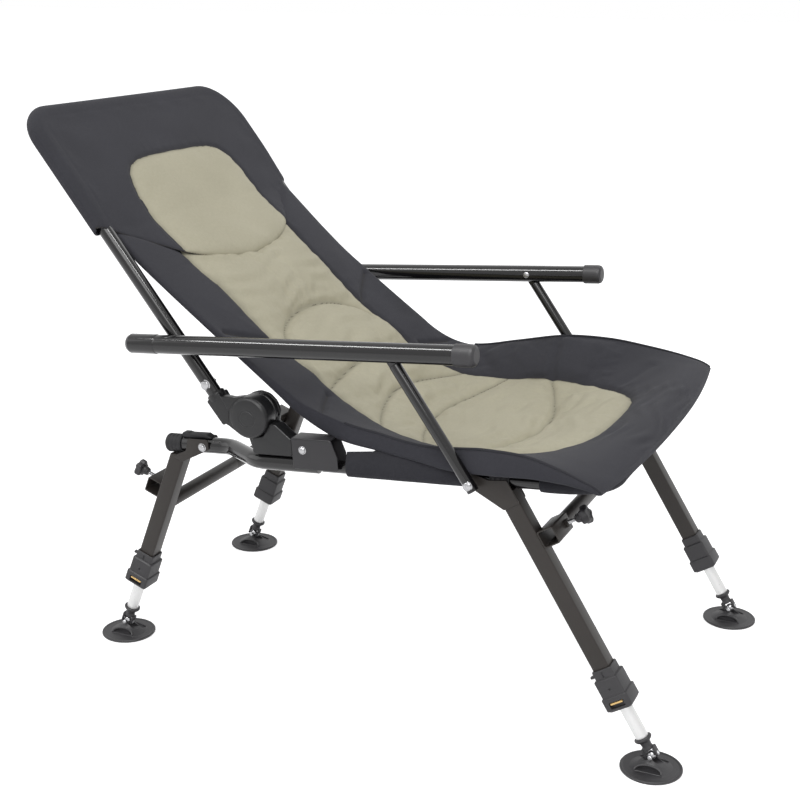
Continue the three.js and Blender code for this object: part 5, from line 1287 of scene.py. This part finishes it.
# Piping along the top edge of the seat on both sides.
for side, sign in (("right", -1), ("left", 1)):
    pipeQ = np.linspace(40, 488, 104)
    path = coverTop(pipeQ, sign * (readCurve(halfWidth, pipeQ) - 1.2)) + [0, 0, 0.2]
    pipe = makePiece(f"piping_{side}", *sweep(path, 1.9, 12, lip=1.5), darkCloth, sharpAngle=180)
    settle(pipe, "seat")

# Head hood: a padded sleeve over the top of the back tube.
hood = {"half": 284.0, "corner": 86.0, "nearCorner": 54.0, "top": 567.0, "roll": 14.2, "lip": 16.0,
        "hemV": 350.0, "pocketV": 384.0, "columns": 100, "cell": 6.2, "skin": 2.2, "pressure": 3.0,
        "slack": -0.02, "cap": 6.0, "puff": 4.5, "groove": 3.0, "pocketRows": 5, "innerRows": 16,
        "crowd": 1.25, "bunch": 0.86}
headPatch = [(150, 159), (300, 160), (352, 160), (384, 158), (404, 153), (424, 144), (438, 128), (446, 104),
             (449, 70), (450, 0)]


# The corner's radius at y, tighter on the near side, and how far y stands over its centre.
def hoodCorner(y):
    radius = np.where(y < 0, hood["nearCorner"], hood["corner"])
    return radius, np.maximum(np.abs(y) - (hood["half"] - radius), 0)


# Highest v at y: the top, falling to the corner arcs v = top - R + sqrt(R^2 - over^2).
def hoodCrown(y):
    radius, over = hoodCorner(y)
    return hood["top"] - radius + np.sqrt(np.maximum(radius**2 - over**2, 0))


# Distance in from the outline, and the tube-round half thickness sqrt(R^2 - (R - r)^2) it gives.
def hoodHalf(v, y):
    radius, over = hoodCorner(y)
    above = v - (hood["top"] - radius)
    straight = np.minimum(hood["half"] - np.abs(y), hood["top"] - v)
    rimGap = np.where((above > 0) & (over > 0), radius - np.hypot(over, above), straight)
    r = np.clip(rimGap, 0, hood["roll"])
    return np.sqrt(np.maximum(hood["roll"] ** 2 - (hood["roll"] - r) ** 2, 0)), rimGap


# Columns crowd towards the sides, rows towards the crown.
widest = 0.5 * np.pi * hood["bunch"]
hoodY = np.sin(np.linspace(-1, 1, hood["columns"]) * widest) / math.sin(widest) * hood["half"]
seamV, crownV = hoodFoot(hoodY), hoodCrown(hoodY)
hemLine = np.maximum(seamV - 2, hood["hemV"])
pocketLine = np.maximum(hood["pocketV"], hemLine + 14)


# Rows between two lines of v over the columns, as (row, column) arrays.
def rowsBetween(low, high, share):
    return low[None, :] + (high - low)[None, :] * share[:, None]


rowsUp, rowsBack = (int((hood["top"] - low) / hood["cell"]) for low in (hoodSeam[0][1], hood["hemV"]))
frontV = rowsBetween(seamV, crownV, 1 - (1 - np.linspace(0, 1, rowsUp)) ** hood["crowd"])
backV = rowsBetween(hemLine, crownV, 1 - np.linspace(1, 0, rowsBack) ** hood["crowd"])[::-1]
pocketV = rowsBetween(hemLine, pocketLine, np.linspace(0, 1, hood["pocketRows"]))
innerV = rowsBetween(seamV, pocketLine, np.linspace(1, 0, hood["innerRows"]))


# Surface heights over the hang line: front lips over the pad, rises to the tube's height, rounds at the rim.
def hoodRow(v, face, inset=0.0):
    y = np.broadcast_to(hoodY, v.shape)
    half, rimGap = hoodHalf(v, y)
    edge = half / hood["roll"]
    if face == "front":
        rise = ease((v - hoodFoot(y)) / 80)
        low = hood["lip"] - 5.0 * ease((np.abs(y) - 140) / 90)
        flat = low + (hood["roll"] + 0.6 - low) * rise
        lip = 2.4 * np.exp(-np.maximum(v - hoodFoot(y), 0) / 3.0)
        n = flat * edge - (0.7 * bell(rimGap - 42, 20) * rise + lip) * np.minimum(edge, 1)
    else:
        n = 1.6 * bell(rimGap - 60, 34) - half
    n = n - math.copysign(inset, n.mean()) * np.minimum(edge, 1)
    x, z = backFrame.point(hangLine(v) + n, v)
    return np.stack([x, y * (0.988 if inset else 1), z], axis=-1)


hoodLoop = np.concatenate([hoodRow(frontV, "front"), hoodRow(backV, "back")[1:],
                           hoodRow(pocketV, "back", hood["skin"]), hoodRow(innerV, "front", hood["skin"])])
loopV = np.concatenate([frontV, backV[1:], pocketV, innerV])
isFront = (np.arange(len(loopV)) < rowsUp)[:, None]
headHood = paddedShell("headHood", hoodLoop, loopV, hoodY, isFront, wrapRows=True)
planV, planY, topSide = readPlan(headHood.data)
headOutline = outlineOf(headPatch, 20.0)
footLine = np.array([(float(hoodFoot(y)), y) for y in np.linspace(-hood["half"], hood["half"], 61)])
nearest = np.minimum(*(lineDistance(planV, planY, line)[0] for line in (headOutline, footLine)))
rimGap = hoodHalf(planV, planY)[1]
held = (topSide < 0.5) | (nearest < 5) | (rimGap < 34) | ~insideOutline(planV, planY, headPatch)
inflate(headHood, held, hood["pressure"], hood["slack"], hood["cap"])
subdivide(headHood)

planV, planY, topSide = readPlan(headHood.data)
patchGap, patchRun = lineDistance(planV, planY, headOutline)
footGap, footRun = lineDistance(planV, planY, footLine)
inside = insideOutline(planV, planY, headPatch)
rimGap = np.maximum(hoodHalf(planV, planY)[1], 0)
puff = hood["puff"] * (1 - np.exp(-patchGap / 26)) * (1 - np.exp(-footGap / 12))
wrinkle = 0.6 * np.sin((planY * 0.8 + planV * 0.6) / 12.0 + 2.0
                       * np.sin(planV / 41)) * ease((patchGap - 8) / 24)
lift = np.where(inside, puff + wrinkle, 0.0) - hood["groove"] * bell(patchGap, 4.2) * np.where(footGap > 4, 1,
                                                                                               0.4)
lift += 0.3 * puckers(patchRun, patchGap, 12.0, 2.2) + 0.5 * puckers(footRun, footGap, 12.0, 0.7)
lift += 0.35 * np.sin(planV / 13.0 + 1.6 * np.sin(planY / 37)) * ease((rimGap - 24) / 30)
# Hem stitches draw the cloth in along the rim and round the corners.
lift += 0.25 * np.sin(planV / 9.0 + planY / 10.0) * bell(rimGap - 31, 7.0) - 0.3 * bell(rimGap - 25, 3.0)
finishPadded(headHood, lift, topSide, np.where(inside, patchGap, -patchGap), np.minimum(patchGap, footGap),
             np.where(patchGap < footGap, patchRun, footRun), lambda points: planY, -planV)
settle(headHood, "recline", ["head_hood"])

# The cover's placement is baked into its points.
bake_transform(cover)

# Sling under the seat, with flaps that wrap the rails.
sling = {"rear": -14.0, "front": 357.0, "gapFrom": 164.0, "gapTo": 275.0, "half": 249.0, "frontHalf": 208.0,
         "dip": 55.0, "wrap": 12.2, "thick": 2.2, "lift": 2.8, "flat": (0.72, 0.38)}
slingX = np.concatenate([np.linspace(sling["rear"], sling["gapFrom"], 32),
                         np.linspace(sling["gapFrom"], sling["front"], 34)[1:]])


# Sling height below the rail line: dip * (1 - 0.85 along^2) * (1 - t^2), with shallow cross ripples.
def slingPoint(x, t):
    lengthwise = (2 * x - sling["front"] - sling["rear"]) / (sling["front"] - sling["rear"])
    narrow = ease((x - sling["gapTo"]) / (sling["front"] - sling["gapTo"]))
    half = sling["half"] + (sling["frontHalf"] - sling["half"]) * narrow
    fall = sling["dip"] * (1 - 0.85 * lengthwise**2) * (1 - t**2)
    ripple = 0.7 * np.sin(x / 17.0 + 1.5 * np.sin(t * 5)) * (1 - t**2)
    return np.stack([x, t * half, sling["lift"] - fall + ripple], axis=-1)


sheetX, sheetT = np.meshgrid(slingX, np.linspace(-1, 1, 84), indexing="ij")
shells = [(slingPoint(sheetX, sheetT).reshape(-1, 3), gridFaces(*sheetX.shape))]
wrapX = slingX[slingX <= sling["gapFrom"] + 1e-6]
wrapTurn = np.radians(np.linspace(167, 360, 15))
for sign in (-1, 1):
    columns = [slingPoint(wrapX, np.full(wrapX.shape, float(sign)))]
    around = [(seatRail["y"] + sling["wrap"] * np.cos(a), sling["wrap"] * np.sin(a) + 0
               * wrapX) for a in wrapTurn[1:]]
    around += [(seatRail["y"] + sling["wrap"] - 9.0 * s**1.5 + 1.2 * math.sin(3.1 * s),
                s * (26.0 + 3.0 * np.sin(wrapX / 31.0))) for s in np.linspace(0.25, 1, 4)]
    columns += [np.stack([wrapX, np.full(wrapX.shape, sign * y), z], axis=-1) for y, z in around]
    flap = np.stack(columns, axis=1)
    sway = np.linspace(0, 1, len(around))
    flap[:, 1:, 1] += sign * 0.5 * np.sin(wrapX / 9.0)[:, None] * sway[None, :]
    shells.append((flap.reshape(-1, 3), gridFaces(*flap.shape[:2])))
slingPoints, slingFaces = gather(*shells)
slingSheet = makePiece("slingSheet", chassisFrame.place(slingPoints), slingFaces, slingCloth, sharpAngle=180,
                       weld=3e-5, outward=False)
firm = slingSheet.modifiers.new("thickness", "SOLIDIFY")
firm.thickness, firm.offset = sling["thick"] * millimetre, 0

# Sleeve round the front of the seat rail and its corners, on a path with steps of about 7 mm.
sleeveStep, sleeveFrom = 7.0, sling["gapTo"] + 1
straight = [[x, -seatRail["y"], 0] for x in (sleeveFrom, 290, 303)]
sleevePath = np.concatenate([straight, [p for p in seatPath if p[0] > sleeveFrom],
                             [[x, -y, z] for x, y, z in straight[::-1]]])
dense = [sleevePath[0]]
for a, b in zip(sleevePath[:-1], sleevePath[1:]):
    cuts = max(int(np.linalg.norm(b - a) / sleeveStep), 1)
    dense += [a + (b - a) * (k + 1) / cuts for k in range(cuts)]
run = np.arange(len(dense)) * sleeveStep
sleeveRadius = 12.1 + 0.5 * np.sin(run / 13.0 + 1.5 * np.sin(run / 41.0))
sleeve = makePiece("frontSleeve", *placed(chassisFrame, sweep(dense, sleeveRadius, 40, lip=1.2)), slingCloth,
                   sharpAngle=60)
for piece, nodes, lean in ((slingSheet, ["sling"], 0), (sleeve, (), 0.3)):
    x, y, z = readPoints(piece.data).T / millimetre
    writePlan(piece.data, y + z, x + lean * z)
    settle(piece, "seat", nodes)

# Floor, lights and camera.
studio = {"floorHalf": 30.0, "worldGrey": 0.6, "floorGlow": 0.64, "focus": (0, 0, 0.4)}


# A colour for the light, and white for camera, glossy and transmission rays, which see the backdrop.
def backdropColour(tree, lit, shown):
    path = addNode(tree, "LightPath")
    either = maths(tree, "MAXIMUM", path.outputs["Is Camera Ray"], path.outputs["Is Glossy Ray"])
    seen = maths(tree, "MAXIMUM", either, path.outputs["Is Transmission Ray"])
    return mixColour(tree, seen, (*lit, 1), (*shown, 1))


floorMesh = bpy.data.meshes.new("floor")
half = studio["floorHalf"]
floorMesh.from_pydata([(x * half, y * half, 0) for x, y in ((-1, -1), (1, -1), (1, 1), (-1, 1))], [],
                      [(0, 1, 2, 3)])
floor = link("floor", floorMesh)
floorMaterial, tree, shader = newMaterial("paleFloor", Base_Color=(0.9, 0.9, 0.9, 1), Roughness=0.9,
                                          Specular_IOR_Level=0.1, Emission_Strength=1.0)
glow = backdropColour(tree, (0, 0, 0), [studio["floorGlow"]] * 3)
tree.links.new(glow, shader.inputs["Emission Color"])
floorMesh.materials.append(floorMaterial)

world = bpy.data.worlds.new("studio")
bpy.context.scene.world = world
world.use_nodes = True
background = world.node_tree.nodes["Background"]
grey = studio["worldGrey"]
backdrop = backdropColour(world.node_tree, (grey, grey, grey * 1.02), (1, 1, 1))
world.node_tree.links.new(backdrop, background.inputs["Color"])
background.inputs["Strength"].default_value = 1.0


# A rectangular lamp at a place, facing the chair.
def softLamp(name, place, width, height, power):
    light = bpy.data.lights.new(name, "AREA")
    light.shape = "RECTANGLE"
    light.size, light.size_y, light.energy = width, height, power
    lamp = link(name, light)
    lamp.location = place
    lamp.rotation_euler = (Vector(studio["focus"]) - Vector(place)).to_track_quat("-Z", "Y").to_euler()
    return lamp


keyLamp = softLamp("keyLamp", (0.9, -2.5, 2.6), 1.8, 1.8, 38.0)
stripLamp = softLamp("stripLamp", (0.0, -1.2, 3.0), 4.4, 0.3, 110.0)
stripLamp.visible_diffuse = False
fillLamp = softLamp("fillLamp", (-2.6, -1.2, 1.6), 2.0, 1.6, 8.0)
rimLamp = softLamp("rimLamp", (0.4, 2.2, 2.4), 2.4, 1.2, 14.0)

# The camera was fitted to the photo: place, yaw, pitch and roll, with focal length in picture widths.
view = {"x": 834.3, "y": -1982.4, "z": 1056.1, "yaw": 114.08, "pitch": 16.9, "roll": 0.38,
        "focal": 1417.0 / 800.0, "sensor": 36.0}
yaw, pitch, roll = (math.radians(view[k]) for k in ("yaw", "pitch", "roll"))
forward = Vector((math.cos(yaw) * math.cos(pitch), math.sin(yaw) * math.cos(pitch), -math.sin(pitch)))
right = Vector((math.sin(yaw), -math.cos(yaw), 0.0))
upright = right.cross(forward)
right, upright = (right * math.cos(roll) + upright * math.sin(roll),
                  upright * math.cos(roll) - right * math.sin(roll))
lens = bpy.data.cameras.new("photoCamera")
lens.sensor_fit, lens.sensor_width, lens.lens = "HORIZONTAL", view["sensor"], view["focal"] * view["sensor"]
camera = link("photoCamera", lens)
eye = (view["x"] + rootShift) * millimetre, view["y"] * millimetre, view["z"] * millimetre
camera.matrix_world = Matrix([(right[k], upright[k], -forward[k], eye[k]) for k in range(3)] + [(0, 0, 0, 1)])
bpy.context.scene.camera = camera
bpy.context.scene.view_settings.view_transform = "Standard"
